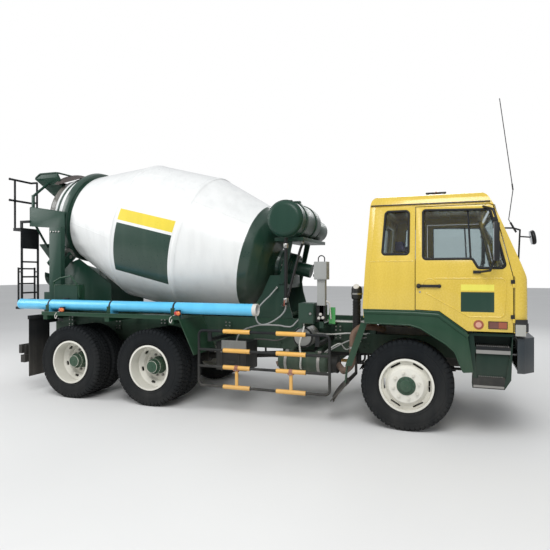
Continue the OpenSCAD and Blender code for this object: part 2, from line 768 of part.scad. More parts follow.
module hoses() {
  color(grey) truck() {
    hose([[drop_x, drop_y, drop_z - 0.2], [drop_x, drop_y, drop_z - 25], [-1550, -800, 1280],
      [-1605, -800, 1215], [-1700, -800, 1150], [-1800, -800, 1105], [-1885, -790, 1100],
      [-1945, -770, 1145], [-1965, -740, 1230], [-1945, -695, 1315], [-1895, -640, 1390],
      [-1840, -570, 1460], [-1795, -500, 1535], [-1780, -450, 1565],
      [-1780, pedestal_face, 1565]], 10, [0.3, -0.9, 0.5]);
    hose([[-1400, -500, 2189.8], [-1400, -500, 2160], [-1440, -500, 2050],
      [-1520, -500, 1760], [-1590, -500, 1500], [-1625, -495, 1410], [-1665, -470, 1350],
      [-1680, -445, 1340], [-1680, pedestal_face, 1340]], 17, [0.5, -0.8, 0.3]);
    hose([[-1300.2, -900, 1190], [-1325, -900, 1190], [-1365, -900, 1150],
      [-1420, -900, 1100], [-1500, -900, 1095], [-1600, -900, 1107], [-1835, -900, 1103],
      [-1960, -900, 1075], [-2065, -900, 1035], [-2145, -890, 970], [-2180, -880, 900],
      [-2180, -880, 870.2]], 9, [0, 1, 0]);
    hose([[-1235, -985, sub_top - 0.2], [-1235, -985, 1110], [-1245, -1000, 1040],
      [-1280, -1015, 900], [-1262, -1018, 740], [-1266, -1018, 640], [-1268, -1012, 590],
      [-1268, -974.8, 609.9]], 11,
      [1, 0.2, 0.2]);
  }
}

// Steering

lug_h = 45;
arm_x = -180;
arm_y = kingpin_y - 70;
arm_z = [axle_z - 130, axle_z - 105];
spindle_r = 35;
hub_in_y = front_track - 25;

module knuckle(side) {
  color(black) truck() mirror([0, side < 0 ? 1 : 0, 0]) {
    for (z = [boss_z[1] + 1, boss_z[0] - 1 - lug_h])
      translate([0, kingpin_y, z]) cylinder(h = lug_h, r = 45);
    translate([0, kingpin_y, boss_z[0] - 30]) cylinder(h = boss_z[1] - boss_z[0] + 60, r = 22);
    box([-40, 40], [kingpin_y + 50, hub_in_y - 6], [boss_z[0] - 1 - lug_h, boss_z[1] + 1 + lug_h]);
    for (z = [boss_z[1] + 1, boss_z[0] - 1 - lug_h])
      box([-40, 40], [kingpin_y, kingpin_y + 51], [z, z + lug_h]);
    translate([0, hub_in_y - 7, axle_z]) rotate([-90, 0, 0]) cylinder(h = 100, r = spindle_r);
    // Steering arm to the tie rod
    linear_extrude_z(arm_z) polygon([[20, kingpin_y + 20], [20, kingpin_y - 40],
      [arm_x + 20, arm_y - 20], [arm_x - 22, arm_y - 20], [arm_x - 22, arm_y + 22],
      [arm_x + 20, arm_y + 22], [-30, kingpin_y + 20]]);
  }
}

module knuckle_left() knuckle(1);
module knuckle_right() knuckle(-1);

module tie_rod() {
  color(black) truck() {
    z = arm_z[0] - 30;
    bar([arm_x, -arm_y - 15, z], [arm_x, arm_y + 15, z], 18);
    both_sides() translate([arm_x, arm_y, z]) cylinder(h = 30 - run_gap, r = 14);
  }
}

// Wheels

// Tyre outline: share of the way from bead to tread, inset from the widest side
tyre_profile = [[0, 35], [0.18, 10], [0.45, 0], [0.72, 3], [0.9, 14], [0.97, 34], [1, 62]];

module tyre() {
  r0 = rim_d / 2;
  side = [for (p = tyre_profile) [r0 + p[0] * (tyre_d / 2 - r0), tyre_w / 2 - p[1]]];
  back = [for (i = [len(side) - 1:-1:0]) [side[i][0], -side[i][1]]];
  rotate_extrude($fn = 96) polygon(concat(side, back));
}

flange_y = [114, 124];
module rim_barrel() {
  r0 = rim_d / 2;
  difference() {
    union() {
      translate([0, 0, -flange_y[1]]) cylinder(h = 2 * flange_y[1], r = r0);
      for (z = [flange_y[0], -flange_y[1]])
        translate([0, 0, z]) cylinder(h = flange_y[1] - flange_y[0], r = r0 + 9);
    }
    translate([0, 0, -200]) cylinder(h = 400, r = r0 - 14);
  }
}

module disc(profile) {
  rotate_extrude() polygon(profile);
}

module rim_front() {
  r0 = rim_d / 2;
  difference() {
    union() {
      rim_barrel();
      // Dish: radius, distance out from the wheel's centre
      disc([[r0 - 13, 45], [r0 - 13, 60], [235, 70], [190, 126], [60, 126], [60, 110],
        [180, 110], [226, 55]]);
    }
    for (a = [0:60:300]) rotate([0, 0, a]) translate([246, 0, 0]) slot(11, 52, 100);
  }
  hub_front();
}

module slot(r, half, h) {
  translate([0, -half, 0]) cylinder(h = h, r = r);
  translate([0, half, 0]) cylinder(h = h, r = r);
  translate([-r, -half, 0]) cube([2 * r, 2 * half, h]);
}

module hub_front() {
  difference() {
    union() {
      translate([0, 0, -20]) cylinder(h = 150, r = 84);
      translate([0, 0, 120]) cylinder(h = 42, r = 62);
    }
    translate([0, 0, -21]) cylinder(h = 100, r = spindle_r + pin_gap);
  }
}

module rim_twin() {
  r0 = rim_d / 2;
  half = twin_gap / 2;
  for (m = [0, 1]) mirror([0, 0, m]) {
    translate([0, 0, half]) rim_barrel();
    difference() {
      disc([[r0 - 13, half - 75], [r0 - 13, half - 58], [222, 62], [200, 20], [60, 20],
        [60, -1], [212, -1], [240, 60]]);
      for (a = [0:60:300]) rotate([0, 0, a + 15]) translate([238, 0, 30])
        slot(14, 18, 60);
    }
  }
  translate([0, 0, -(rear_track - hub_face_y)]) cylinder(h = rear_track - hub_face_y + 160, r = 105);
  translate([0, 0, 150]) cylinder(h = 60, r = 80);
}

module on_axle(x, track, side) {
  truck() translate([x, side * track, axle_z]) rotate([-90 * side, 0, 0]) children();
}

module tyre_pair() {
  for (s = [-1, 1]) translate([0, 0, s * twin_gap / 2]) tyre();
}

module tyre_front_left() color(rubber) on_axle(0, front_track, 1) tyre();
module tyre_front_right() color(rubber) on_axle(0, front_track, -1) tyre();
module tyre_middle_left() color(rubber) on_axle(middle_x, rear_track, 1) tyre_pair();
module tyre_middle_right() color(rubber) on_axle(middle_x, rear_track, -1) tyre_pair();
module tyre_rear_left() color(rubber) on_axle(rear_x, rear_track, 1) tyre_pair();
module tyre_rear_right() color(rubber) on_axle(rear_x, rear_track, -1) tyre_pair();
module rim_front_left() color(cream) on_axle(0, front_track, 1) rim_front();
module rim_front_right() color(cream) on_axle(0, front_track, -1) rim_front();
module rim_middle_left() color(cream) on_axle(middle_x, rear_track, 1) rim_twin();
module rim_middle_right() color(cream) on_axle(middle_x, rear_track, -1) rim_twin();
module rim_rear_left() color(cream) on_axle(rear_x, rear_track, 1) rim_twin();
module rim_rear_right() color(cream) on_axle(rear_x, rear_track, -1) rim_twin();

// Cab

belt_z = 1850;
gutter_z = 2520;
side_bottom = 1366;
floor_z = [1225, 1265];
roof_t = 45;

// Corner radii of the cab's outside
belt_round = 400;
roof_round = 100;
brow_round = 120;
nose_round = 150;
corner_round = 90;

// Cross section of the cab, drawn in by t from the outside
module cab_section(t) {
  half = [[cab_y - t, 1120, 0], [cab_y - t, belt_z, belt_round - t], [gutter_y - t, gutter_z, 0],
    [gutter_y - 25 - t, roof_z - t, roof_round - t]];
  polygon(rounded(concat(half, [for (i = [3:-1:0]) [-half[i][0], half[i][1], half[i][2]]])));
}

// Side view of the cab, drawn in by t from the outside
module cab_profile(t) {
  polygon(rounded([[-470 + t, 1120, 0], [-470 + t, 1370, 0], [-395 + t, 2525, 0],
    [-370 + t, roof_z - t, roof_round - t], [810 - t * 0.4, roof_z - t, brow_round - t],
    [890 - t, 2500, 0], [1205 - t, 1720, nose_round - t], [cab_front_x - t, 1290, 0],
    [cab_front_x - t, 1120, 0]]));
}

// Cab seen from above, drawn in by t from the outside
module cab_plan(t) {
  half = [[-470 + t, cab_y - t, 0], [cab_front_x - t, cab_y - t, corner_round - t]];
  polygon(rounded(concat(half, [for (i = [1:-1:0]) [half[i][0], -half[i][1], half[i][2]]])));
}

module cab_solid(t) {
  intersection() {
    translate([2000, 0, 0]) rotate([90, 0, -90]) linear_extrude(4000) cab_section(t);
    across([-2000, 2000]) cab_profile(t);
    translate([0, 0, 1000]) linear_extrude(2000) cab_plan(t);
  }
}

module cab_skin(t0, t1) {
  difference() {
    cab_solid(t0);
    cab_solid(t1);
  }
}

// Outline of the door, drawn in by g
module door_outline(g) {
  polygon([[100 + g, side_bottom + g], [351 + g * 0.4, side_bottom - 10 + g],
    [631 + g * 0.4, 1152 + g], [1080 - g, 1152 + g], [1080 - g, 1720], [893 - g * 1.2, 2490 - g],
    [860 - g, 2500 - g], [100 + g, 2500 - g]]);
}

module door_window() {
  polygon([[185, 1920], [684, 1920], [739, 1822], [990, 1822], [998, 1857], [856, 2440],
    [200, 2457], [182, 2440]]);
}

module quarter_window() {
  polygon([[-251, 2000], [-235, 1976], [15, 1976], [32, 2000], [32, 2430], [10, 2456],
    [-200, 2456], [-222, 2430]]);
}

module across(y) {
  translate([0, y[1], 0]) rotate([90, 0, 0]) linear_extrude(y[1] - y[0]) children();
}

side_zone_y = [1090, 1300];

module cab_side() {
  difference() {
    intersection() {
      cab_skin(0, cab_wall);
      box([-500, 1100], [cab_y - 170, 1300], [side_bottom, gutter_z]);
    }
    across(side_zone_y) door_outline(0);
    across(side_zone_y) quarter_window();
    cab_end_cuts();
  }
}

// Planes where the side panels meet the back and front panels
module cab_end_cuts() {
  back_zone();
  front_zone();
}

// Zone of the back panel
module back_zone() {
  side_plate([[-600, 1000], [-470 + cab_wall, 1000], [-470 + cab_wall, 1370],
    [-395 + cab_wall, 2525], [-395 + cab_wall, 2700], [-600, 2700]], [-2000, 2000]);
}

// Zone of the front panel, from the doors' front edges forward
module front_zone() {
  side_plate([[1300, 1000], [1080, 1000], [1080, 1720], [893, 2490], [893, 2700],
    [1300, 2700]], [-2000, 2000]);
}

// Windscreen opening in the side view
module screen_zone() {
  side_plate([[1000, 1790], [1300, 1790], [1300, 2440], [700, 2440]], [-screen_y, screen_y]);
}

module rear_window_zone() {
  box([-600, 0], [-520, 520], [1900, 2380]);
}

module cab_side_left() color(yellow) truck() cab_side();
module cab_side_right() color(yellow) truck() mirror([0, 1, 0]) cab_side();

module cab_floor() {
  color(yellow) truck() {
    // Back wall with its window
    difference() {
      intersection() {
        cab_skin(0, cab_wall);
        back_zone();
        box([-600, 0], [-1300, 1300], [side_bottom, gutter_z]);
      }
      rear_window_zone();
    }
    difference() {
      box([-470, 1150], [-cab_y + cab_wall + door_gap, cab_y - cab_wall - door_gap], floor_z);
      cab_skin(0, cab_wall);
    }
    box([-470, -470 + cab_wall], [-cab_y + cab_wall, cab_y - cab_wall],
      [floor_z[1] - 1, side_bottom + 1]);
    // Rear feet on the arch
    both_sides() box([-520, -440], [350, 430], [1200 + run_gap, floor_z[0] + 1]);
  }
}

module cab_roof() {
  color(yellow) truck() {
    intersection() {
      cab_skin(0, roof_t);
      box([-500, 1000], [-1300, 1300], [gutter_z, 2800]);
    }
    // Rain gutter along both sides
    intersection() {
      cab_skin(-14, 1);
      box([-385, 860], [-1300, 1300], [gutter_z, gutter_z + 14]);
    }
  }
}

screen_y = 1060;
door_hinge_x = 1076;
door_hinge_y = cab_y + 10;
door_hinge_z = [1300, 1660];

module cab_front() {
  color(yellow) truck() {
    difference() {
      intersection() {
        cab_skin(0, cab_wall);
        front_zone();
        box([800, 1300], [-1300, 1300], [1156, gutter_z]);
      }
      screen_zone();
      // Room round the tilt hinge
      both_sides() box([1000, cab_front_x - 12], [290, 385], [1100, 1175]);
    }
    // Hinge eyes
    both_sides() difference() {
      union() {
        box([tilt_x - 20, tilt_x + 20], [335, 375], [tilt_z, 1176]);
        translate([tilt_x, 335, tilt_z]) rotate([-90, 0, 0]) cylinder(h = 40, r = 20);
      }
      translate([tilt_x, 300, tilt_z]) rotate([-90, 0, 0]) cylinder(h = 100, r = tilt_pin_r + pin_gap);
    }
    // Door hinge knuckles on the pillar
    both_sides() for (z = door_hinge_z) {
      translate([door_hinge_x, door_hinge_y, z - 40]) cylinder(h = 40 - run_gap, r = 9);
      box([door_hinge_x, 1090], [door_hinge_y - 12, door_hinge_y + 4], [z - 40, z - run_gap]);
    }
  }
}

seat_y = [330, 870];

module cab_interior() {
  color(black) truck() {
    box([900, 1080], [-cab_y + cab_wall + 8, cab_y - cab_wall - 8], [1500, 1790]);
    box([1000, 1080], [-600, 600], [floor_z[1], 1501]);
    // Steering wheel on the right-hand side
    translate([640, -600, 1740]) rotate([0, -30, 0]) {
      rotate_extrude() translate([212, 14]) circle(r = 14, $fn = 24);
      box([-205, 205], [-20, 20], [4, 24]);
      translate([0, 0, -240]) cylinder(h = 260, r = 30);
    }
    bar([760, -600, 1530], [960, -600, 1480], 40);
  }
}

module seats() {
  color(black) truck() both_sides() {
    box([-60, 440], seat_y, [floor_z[1], 1560]);
    box([-180, -59], seat_y, [floor_z[1], 2150]);
  }
}

arch_inner = [[-447, 1207], [44, 1199], [159, 1168], [425, 1005], [512, 928], [565, 794],
  [597, 715]];
arch_outer = [[-460, side_bottom], [100, side_bottom], [351, 1356], [631, 1149], [694, 725]];

module cab_fenders() {
  color(green) truck() both_sides() {
    side_plate(concat(arch_inner, [for (i = [len(arch_outer) - 1:-1:0]) arch_outer[i]]),
      [cab_y - cab_wall, cab_y]);
    // Liner over the wheel
    side_plate([[-447, 1207], [44, 1199], [159, 1168], [425, 1005], [512, 928], [565, 794],
      [597, 715], [612, 715], [580, 800], [524, 938], [434, 1018], [166, 1183], [48, 1214],
      [48, 1225], [-447, 1225]], [880, cab_y - cab_wall + 1]);
    // Step box
    difference() {
      side_plate([[640, 1140], [694, 725], [686, 558], [999, 558], [1060, 660], [1078, 1140]],
        [930, 1205]);
      side_plate([[710, 930], [730, 670], [1010, 670], [1050, 930]], [1000, 1300]);
      side_plate([[700, 1110], [712, 990], [1060, 990], [1070, 1110]], [1000, 1300]);
    }
    box([660, 1060], [930, 990], [1139, floor_z[0]]);
  }
}

module cab_glass() {
  color(glass) truck() {
    both_sides() intersection() {
      cab_skin(25, 31);
      across(side_zone_y) quarter_window();
    }
    intersection() {
      cab_skin(25, 31);
      screen_zone();
    }
    intersection() {
      cab_skin(25, 31);
      rear_window_zone();
    }
  }
}

// Grille: half width, heights, depth, and the pitch and height of its slats
grille_y = 640;
grille_z = [1310, 1674];
grille_t = 16;
grille_step = 56;
slat_h = 28;

// Distance from the middle to the mirror loop at the left front corner
loop_y = 1150;

module cab_fittings() {
  color(black) truck() {
    // Round mirror on a tube loop at the left front corner
    pad([880, 960], [1100, 1150], [2405, 2460]);
    pad([1110, 1180], [1100, 1150], [1855, 1910]);
    bent_bar([[930, 1130, 2440], [1300, loop_y, 2425], [1389, loop_y, 2395],
      [1370, loop_y, 1950], [1330, loop_y, 1905], [1154, 1130, 1885]], 12);
    bar([1386, loop_y, 2300], [1540, loop_y, 2285], 10);
    translate([1530, loop_y, 2278]) rotate([0, 80, 0]) vessel(105, 60, 28);
    // Aerial clamped on that loop
    bar([1340, loop_y, 2362], [1262, loop_y, 2508], 14);
    bent_bar([[1262, loop_y, 2508], [1240, loop_y, 2550], [1296, loop_y, 2980],
      [1115, loop_y, 4330]], 6);
    bar([1296, loop_y, 2980], [1284, loop_y, 3070], 10);
    // Lamp frame on the roof
    for (y = [-760, -500]) {
      bar([187, y, roof_z + 60], [413, y, roof_z + 60], 12);
      for (x = [210, 390]) bar([x, y, roof_z], [x, y, roof_z + 60], 12);
    }
    for (x = [210, 390]) bar([x, -760, roof_z + 60], [x, -500, roof_z + 60], 12);
    for (y = [-700, -560]) translate([300, y, roof_z]) {
      cylinder(h = 42, r = 42);
      translate([0, 0, 42]) sphere(r = 42);
    }
    box([255, 345], [-745, -515], [roof_z, roof_z + 20]);
    // Grille on the front panel
    intersection() {
      cab_skin(-grille_t, 0);
      union() {
        for (y = [-grille_y, 0, grille_y])
          box([1000, 1300], [y - 20, y + 20], [grille_z[0], grille_z[1]]);
        for (z = [grille_z[0]:grille_step:grille_z[1] - slat_h])
          box([1000, 1300], [-grille_y, grille_y], [z, z + slat_h]);
      }
    }
    // Lamps on the lower front corners
    both_sides() intersection() {
      cab_skin(-12, 0);
      box([1090, 1300], [1140, 1300], [1165, 1250]);
    }
  }
}

// A pad that lies on the cab's outside
module pad(x, y, z) {
  intersection() {
    cab_skin(-12, 0);
    box(x, y, z);
  }
}

mirror_y = 1380;
mirror_x = 880;

module door_panel() {
  difference() {
    intersection() {
      cab_skin(0, cab_wall);
      across(side_zone_y) door_outline(door_gap);
    }
    across(side_zone_y) door_window();
  }
  // Handle and mirror
  box([120, 360], [cab_y - 1, cab_y + 22], [1615, 1645]);
  box([690, 765], [cab_y - 1, cab_y + 20], [1765, 1797]);
  bent_bar([[750, cab_y + 10, 1781], [850, mirror_y - 30, 1795], [880, mirror_y, 1890],
    [905, mirror_y, 2150], [908, mirror_y, 2310], [875, mirror_y - 60, 2425],
    [790, 1170, 2474]], 12);
  // Mirror head on the tube, facing back
  box([mirror_x, mirror_x + 32], [mirror_y - 90, mirror_y + 70], [1890, 2290]);
  // Hinge knuckles
  for (z = door_hinge_z) {
    translate([door_hinge_x, door_hinge_y, z]) cylinder(h = 40, r = 9);
    box([1050, door_hinge_x], [door_hinge_y - 12, door_hinge_y + 4], [z, z + 40]);
  }
}

module door_left() color(yellow) truck() door_panel();
module door_right() color(yellow) truck() mirror([0, 1, 0]) door_panel();

module door_pane() {
  intersection() {
    cab_skin(25, 31);
    across(side_zone_y) door_window();
  }
}

module door_glass_left() color(glass) truck() door_pane();
module door_glass_right() color(glass) truck() mirror([0, 1, 0]) door_pane();

// Discharge chute, stowed to the left

swivel_x = -5890;
post_top = 1260;
chute_z = 1760;
chute_slope = 12;
tilt_pin_z = 1470;
fork_x = [60, 80];
head_y = -120;
chute_end = head_y + chute_len;
fold_y = chute_end + 5;
fold_z = 15;

module chute_bracket() {
  color(dark_green) truck() translate([swivel_x, 0, 0]) {
    translate([0, 0, post_top + run_gap]) cylinder(h = 30, r = 95);
    translate([0, 0, post_top + 20]) cylinder(h = 130, r = 45);
    box([-fork_x[1], fork_x[1]], [-60, 60], [post_top + 140, post_top + 165]);
    // Fork that the chute tilts in
    for (m = [0, 1]) mirror([m, 0, 0]) difference() {
      box(fork_x, [-30, 30], [post_top + 164, tilt_pin_z + 20]);
      translate([0, 0, tilt_pin_z]) rotate([0, 90, 0]) cylinder(h = 200, r = 15 + pin_gap);
    }
  }
}

module chute_frame() {
  truck() translate([swivel_x, 0, chute_z]) rotate([-chute_slope, 0, 0]) children();
}

// Half pipe along y, open side up
module trough(y) {
  difference() {
    translate([0, y[0], 0]) rotate([-90, 0, 0]) cylinder(h = y[1] - y[0], r = chute_r);
    trough_room(y);
  }
}

module trough_room(y) {
  translate([0, y[0] - 1, 0]) rotate([-90, 0, 0])
    cylinder(h = y[1] - y[0] + 2, r = chute_r - sheet_t);
  box([-chute_r - 1, chute_r + 1], [y[0] - 2, y[1] + 2], [0, chute_r + 1]);
}

module chute() {
  color(dark_green) {
    chute_frame() {
      trough([head_y, chute_end]);
      // Hinge plates and pins for the folding piece
      for (m = [0, 1]) mirror([m, 0, 0]) {
        box([chute_r - 6, chute_r + 10], [chute_end - 60, chute_end - 20], [-40, -2]);
        box([chute_r + 2, chute_r + 10], [chute_end - 60, fold_y + 10], [-40, fold_z + 12]);
        translate([chute_r + 2, fold_y, fold_z]) rotate([0, 90, 0]) cylinder(h = 30, r = 9);
      }
    }
    // Lugs and pin under the trough
    difference() {
      truck() translate([swivel_x, 0, 0]) {
        for (m = [0, 1]) mirror([m, 0, 0])
          box([35, fork_x[0] - 3], [-25, 25], [tilt_pin_z - 25, tilt_pin_z + 90]);
        translate([-fork_x[1] - 5, 0, tilt_pin_z]) rotate([0, 90, 0])
          cylinder(h = 2 * fork_x[1] + 10, r = 15);
      }
      chute_frame() trough_room([head_y, chute_end]);
    }
  }
}

module chute_extension() {
  y = [chute_end - extension_len, chute_end];
  color(dark_green) chute_frame() {
    translate([0, 0, 2 * fold_z]) mirror([0, 0, 1]) trough(y);
    for (m = [0, 1]) mirror([m, 0, 0]) difference() {
      union() {
        box([chute_r - 6, chute_r + 14], [chute_end - 60, chute_end - 12],
          [fold_z + 32, fold_z + 57]);
        box([chute_r + 12, chute_r + 24], [chute_end - 60, fold_y + 14],
          [fold_z - 14, fold_z + 57]);
      }
      translate([0, fold_y, fold_z]) rotate([0, 90, 0]) cylinder(h = 400, r = 9 + pin_gap);
    }
  }
}

frame_rails();
subframe();
engine();
front_axle();
rear_axles();
springs();
side_tanks();
battery_box();
side_guards();
rear_fenders();
mud_flaps();
front_bumper();
rear_bumper();
front_pedestal();
drum_drive();
water_tank();
rear_pedestal();
hopper();
discharge_funnel();
platform();
side_pipe();
exhaust();
control_stand();
hoses();
drum();
roller_left();
roller_right();
knuckle_left();
knuckle_right();
tie_rod();
tyre_front_left();
tyre_front_right();
tyre_middle_left();
tyre_middle_right();
tyre_rear_left();
tyre_rear_right();
rim_front_left();
rim_front_right();
rim_middle_left();
rim_middle_right();
rim_rear_left();
rim_rear_right();
cab_floor();
cab_side_left();
cab_side_right();
cab_roof();
cab_front();
cab_interior();
seats();
cab_fenders();
cab_glass();
cab_fittings();
door_left();
door_right();
door_glass_left();
door_glass_right();
chute_bracket();
chute();
chute_extension();
ladder_lower();
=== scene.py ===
# Looks of the concrete mixer truck: camera, light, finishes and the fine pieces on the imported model
import math

import bmesh
import bpy
from mathutils import Matrix, Vector


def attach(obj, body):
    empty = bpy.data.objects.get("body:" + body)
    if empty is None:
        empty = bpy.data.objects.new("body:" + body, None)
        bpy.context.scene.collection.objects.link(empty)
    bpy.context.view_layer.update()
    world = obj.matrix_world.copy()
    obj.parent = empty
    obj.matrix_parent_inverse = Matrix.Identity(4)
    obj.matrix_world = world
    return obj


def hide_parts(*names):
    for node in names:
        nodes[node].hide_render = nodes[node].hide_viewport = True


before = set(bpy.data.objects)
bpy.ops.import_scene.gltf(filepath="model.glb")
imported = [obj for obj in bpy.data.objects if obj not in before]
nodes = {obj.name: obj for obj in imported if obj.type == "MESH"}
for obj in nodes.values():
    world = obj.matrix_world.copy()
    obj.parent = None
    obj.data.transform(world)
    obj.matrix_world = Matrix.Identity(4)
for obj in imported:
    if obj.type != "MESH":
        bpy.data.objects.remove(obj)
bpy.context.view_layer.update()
scene = bpy.context.scene

frontAxleX = 2.286  # places in the tables below are measured from the front axle


def place(x, y, z):
    return Vector((x + frontAxleX, y, z))


# Camera, solved from the photograph
camera = {
    "position": (0.5308, -6.9023, 1.7689),
    "turn": 0.3474,
    "pitch": -0.0037,
    "lens": 32.88,
    "sensor": 36.0,
}


def makeCamera():
    data = bpy.data.cameras.new("camera")
    data.lens = camera["lens"]
    data.sensor_width = camera["sensor"]
    data.sensor_fit = "HORIZONTAL"
    data.clip_start = 0.05
    data.clip_end = 200.0
    eye = bpy.data.objects.new("camera", data)
    scene.collection.objects.link(eye)
    eye.location = place(*camera["position"])
    eye.rotation_mode = "XYZ"
    eye.rotation_euler = (math.pi / 2 + camera["pitch"], 0.0, camera["turn"])
    scene.camera = eye


makeCamera()
print("camera made")

# Stage
stage = {
    "floorHalf": 60.0,
    "floorColor": (0.72, 0.72, 0.71, 1.0),
    "skyColor": (0.93, 0.95, 0.98, 1.0),
    "skyLight": 0.62,
    "skySeen": (1.0, 1.0, 1.0, 1.0),
}


def makeFloor():
    mesh = bpy.data.meshes.new("floor")
    h = stage["floorHalf"]
    mesh.from_pydata([(-h, -h, 0), (h, -h, 0), (h, h, 0), (-h, h, 0)], [], [(0, 1, 2, 3)])
    floor = bpy.data.objects.new("floor", mesh)
    scene.collection.objects.link(floor)
    mat = bpy.data.materials.new("floorPaint")
    mat.use_nodes = True
    tree = mat.node_tree
    bsdf = tree.nodes["Principled BSDF"]
    bsdf.inputs["Roughness"].default_value = 0.9
    noise = tree.nodes.new("ShaderNodeTexNoise")
    noise.inputs["Scale"].default_value = 0.35
    noise.inputs["Detail"].default_value = 5.0
    ramp = tree.nodes.new("ShaderNodeMapRange")
    ramp.inputs["To Min"].default_value = 0.94
    ramp.inputs["To Max"].default_value = 1.05
    tint = tree.nodes.new("ShaderNodeVectorMath")
    tint.operation = "SCALE"
    tint.inputs[0].default_value = stage["floorColor"][:3]
    where = tree.nodes.new("ShaderNodeTexCoord")
    tree.links.new(where.outputs["Object"], noise.inputs["Vector"])
    tree.links.new(noise.outputs["Fac"], ramp.inputs["Value"])
    tree.links.new(ramp.outputs["Result"], tint.inputs["Scale"])
    tree.links.new(tint.outputs["Vector"], bsdf.inputs["Base Color"])
    mesh.materials.append(mat)


def makeSky():
    # White where the camera sees it, dimmer and a little blue as a light
    world = bpy.data.worlds.new("sky")
    scene.world = world
    world.use_nodes = True
    wt = world.node_tree
    wt.nodes.clear()
    out = wt.nodes.new("ShaderNodeOutputWorld")
    light = wt.nodes.new("ShaderNodeBackground")
    seen = wt.nodes.new("ShaderNodeBackground")
    mix = wt.nodes.new("ShaderNodeMixShader")
    path = wt.nodes.new("ShaderNodeLightPath")
    light.inputs["Color"].default_value = stage["skyColor"]
    light.inputs["Strength"].default_value = stage["skyLight"]
    seen.inputs["Color"].default_value = stage["skySeen"]
    seen.inputs["Strength"].default_value = 1.0
    wt.links.new(path.outputs["Is Camera Ray"], mix.inputs["Fac"])
    wt.links.new(light.outputs["Background"], mix.inputs[1])
    wt.links.new(seen.outputs["Background"], mix.inputs[2])
    wt.links.new(mix.outputs["Shader"], out.inputs["Surface"])


def addLamp(name, position, aim, power, size):
    data = bpy.data.lights.new(name, "AREA")
    data.shape = "DISK"
    data.size = size
    data.energy = power
    lamp = bpy.data.objects.new(name, data)
    scene.collection.objects.link(lamp)
    lamp.location = position
    lamp.rotation_euler = (Vector(aim) - Vector(position)).to_track_quat("-Z", "Y").to_euler()


lampTable = {
    "keyLight": dict(position=(3.0, -9.0, 9.5), aim=(0.0, 0.0, 1.5), power=900.0, size=7.0),
    "fillLight": dict(position=(-8.0, -4.0, 5.0), aim=(-1.0, 0.0, 1.5), power=260.0, size=5.0),
    "backLight": dict(position=(2.0, 9.0, 7.0), aim=(0.0, 0.0, 1.5), power=260.0, size=5.0),
}

makeFloor()
makeSky()
for lampName, values in lampTable.items():
    addLamp(lampName, **values)
scene.view_settings.view_transform = "Standard"
print("stage made")

drumAngle = math.radians(13.54)
drumAxis = Vector((math.cos(drumAngle), 0.0, -math.sin(drumAngle)))
drumOrigin = place(-5.102, 0.0, 2.680)

# Shared node groups


def newGroup(name, inputs, outputs):
    group = bpy.data.node_groups.new(name, "ShaderNodeTree")
    for label, kind, value in inputs:
        socket = group.interface.new_socket(label, in_out="INPUT", socket_type="NodeSocket" + kind)
        socket.default_value = value
    for label, kind in outputs:
        group.interface.new_socket(label, in_out="OUTPUT", socket_type="NodeSocket" + kind)
    return group, group.nodes.new("NodeGroupInput"), group.nodes.new("NodeGroupOutput")


def addNode(tree, kind, **values):
    node = tree.nodes.new("ShaderNode" + kind)
    for key, value in values.items():
        if key in node.inputs:
            node.inputs[key].default_value = value
        else:
            setattr(node, key, value)
    return node


def addNoise(tree, source, scale, detail=4.0, stretch=(1, 1, 1)):
    mapping = addNode(tree, "Mapping", Scale=stretch)
    noise = addNode(tree, "TexNoise", Scale=scale, Detail=detail)
    tree.links.new(source, mapping.inputs["Vector"])
    tree.links.new(mapping.outputs["Vector"], noise.inputs["Vector"])
    return noise.outputs["Fac"]


def addMath(tree, operation, a, b, clamp=False):
    node = addNode(tree, "Math", operation=operation, use_clamp=clamp)
    for socket, value in zip(node.inputs, (a, b)):
        if isinstance(value, (int, float)):
            socket.default_value = value
        else:
            tree.links.new(value, socket)
    return node.outputs[0]


def addRange(tree, value, fromMin, fromMax, toMin=0.0, toMax=1.0):
    node = addNode(tree, "MapRange")
    for label, part in (("Value", value), ("From Min", fromMin), ("From Max", fromMax),
                        ("To Min", toMin), ("To Max", toMax)):
        if isinstance(part, (int, float)):
            node.inputs[label].default_value = part
        else:
            tree.links.new(part, node.inputs[label])
    return node.outputs["Result"]


def addMix(tree, factor, a, b, blendType="MIX"):
    node = addNode(tree, "Mix", data_type="RGBA", blend_type=blendType)
    for socket, value in ((node.inputs[0], factor), (node.inputs[6], a), (node.inputs[7], b)):
        if isinstance(value, (int, float, tuple)):
            socket.default_value = value
        else:
            tree.links.new(value, socket)
    return node.outputs[2]


def addGrime(group, where, low):
    # Dust in clouds and runs, thicker where low is one; with the streaks and specks under it
    blotch = addNoise(group, where, 2.3, 7.0)
    streak = addNoise(group, where, 9.0, 4.0, (1.0, 1.0, 0.09))
    speck = addNoise(group, where, 45.0, 3.0)
    cloud = addMath(group, "MULTIPLY", addRange(group, blotch, 0.35, 0.68), 0.45)
    run = addMath(group, "MULTIPLY", addRange(group, streak, 0.5, 0.72), 0.4)
    mess = addMath(group, "ADD", cloud, run)
    mess = addMath(group, "MULTIPLY", mess, addMath(group, "ADD", low, 0.22))
    dusty = addMath(group, "ADD", mess, addMath(group, "MULTIPLY", low, 0.55))
    return dusty, streak, speck


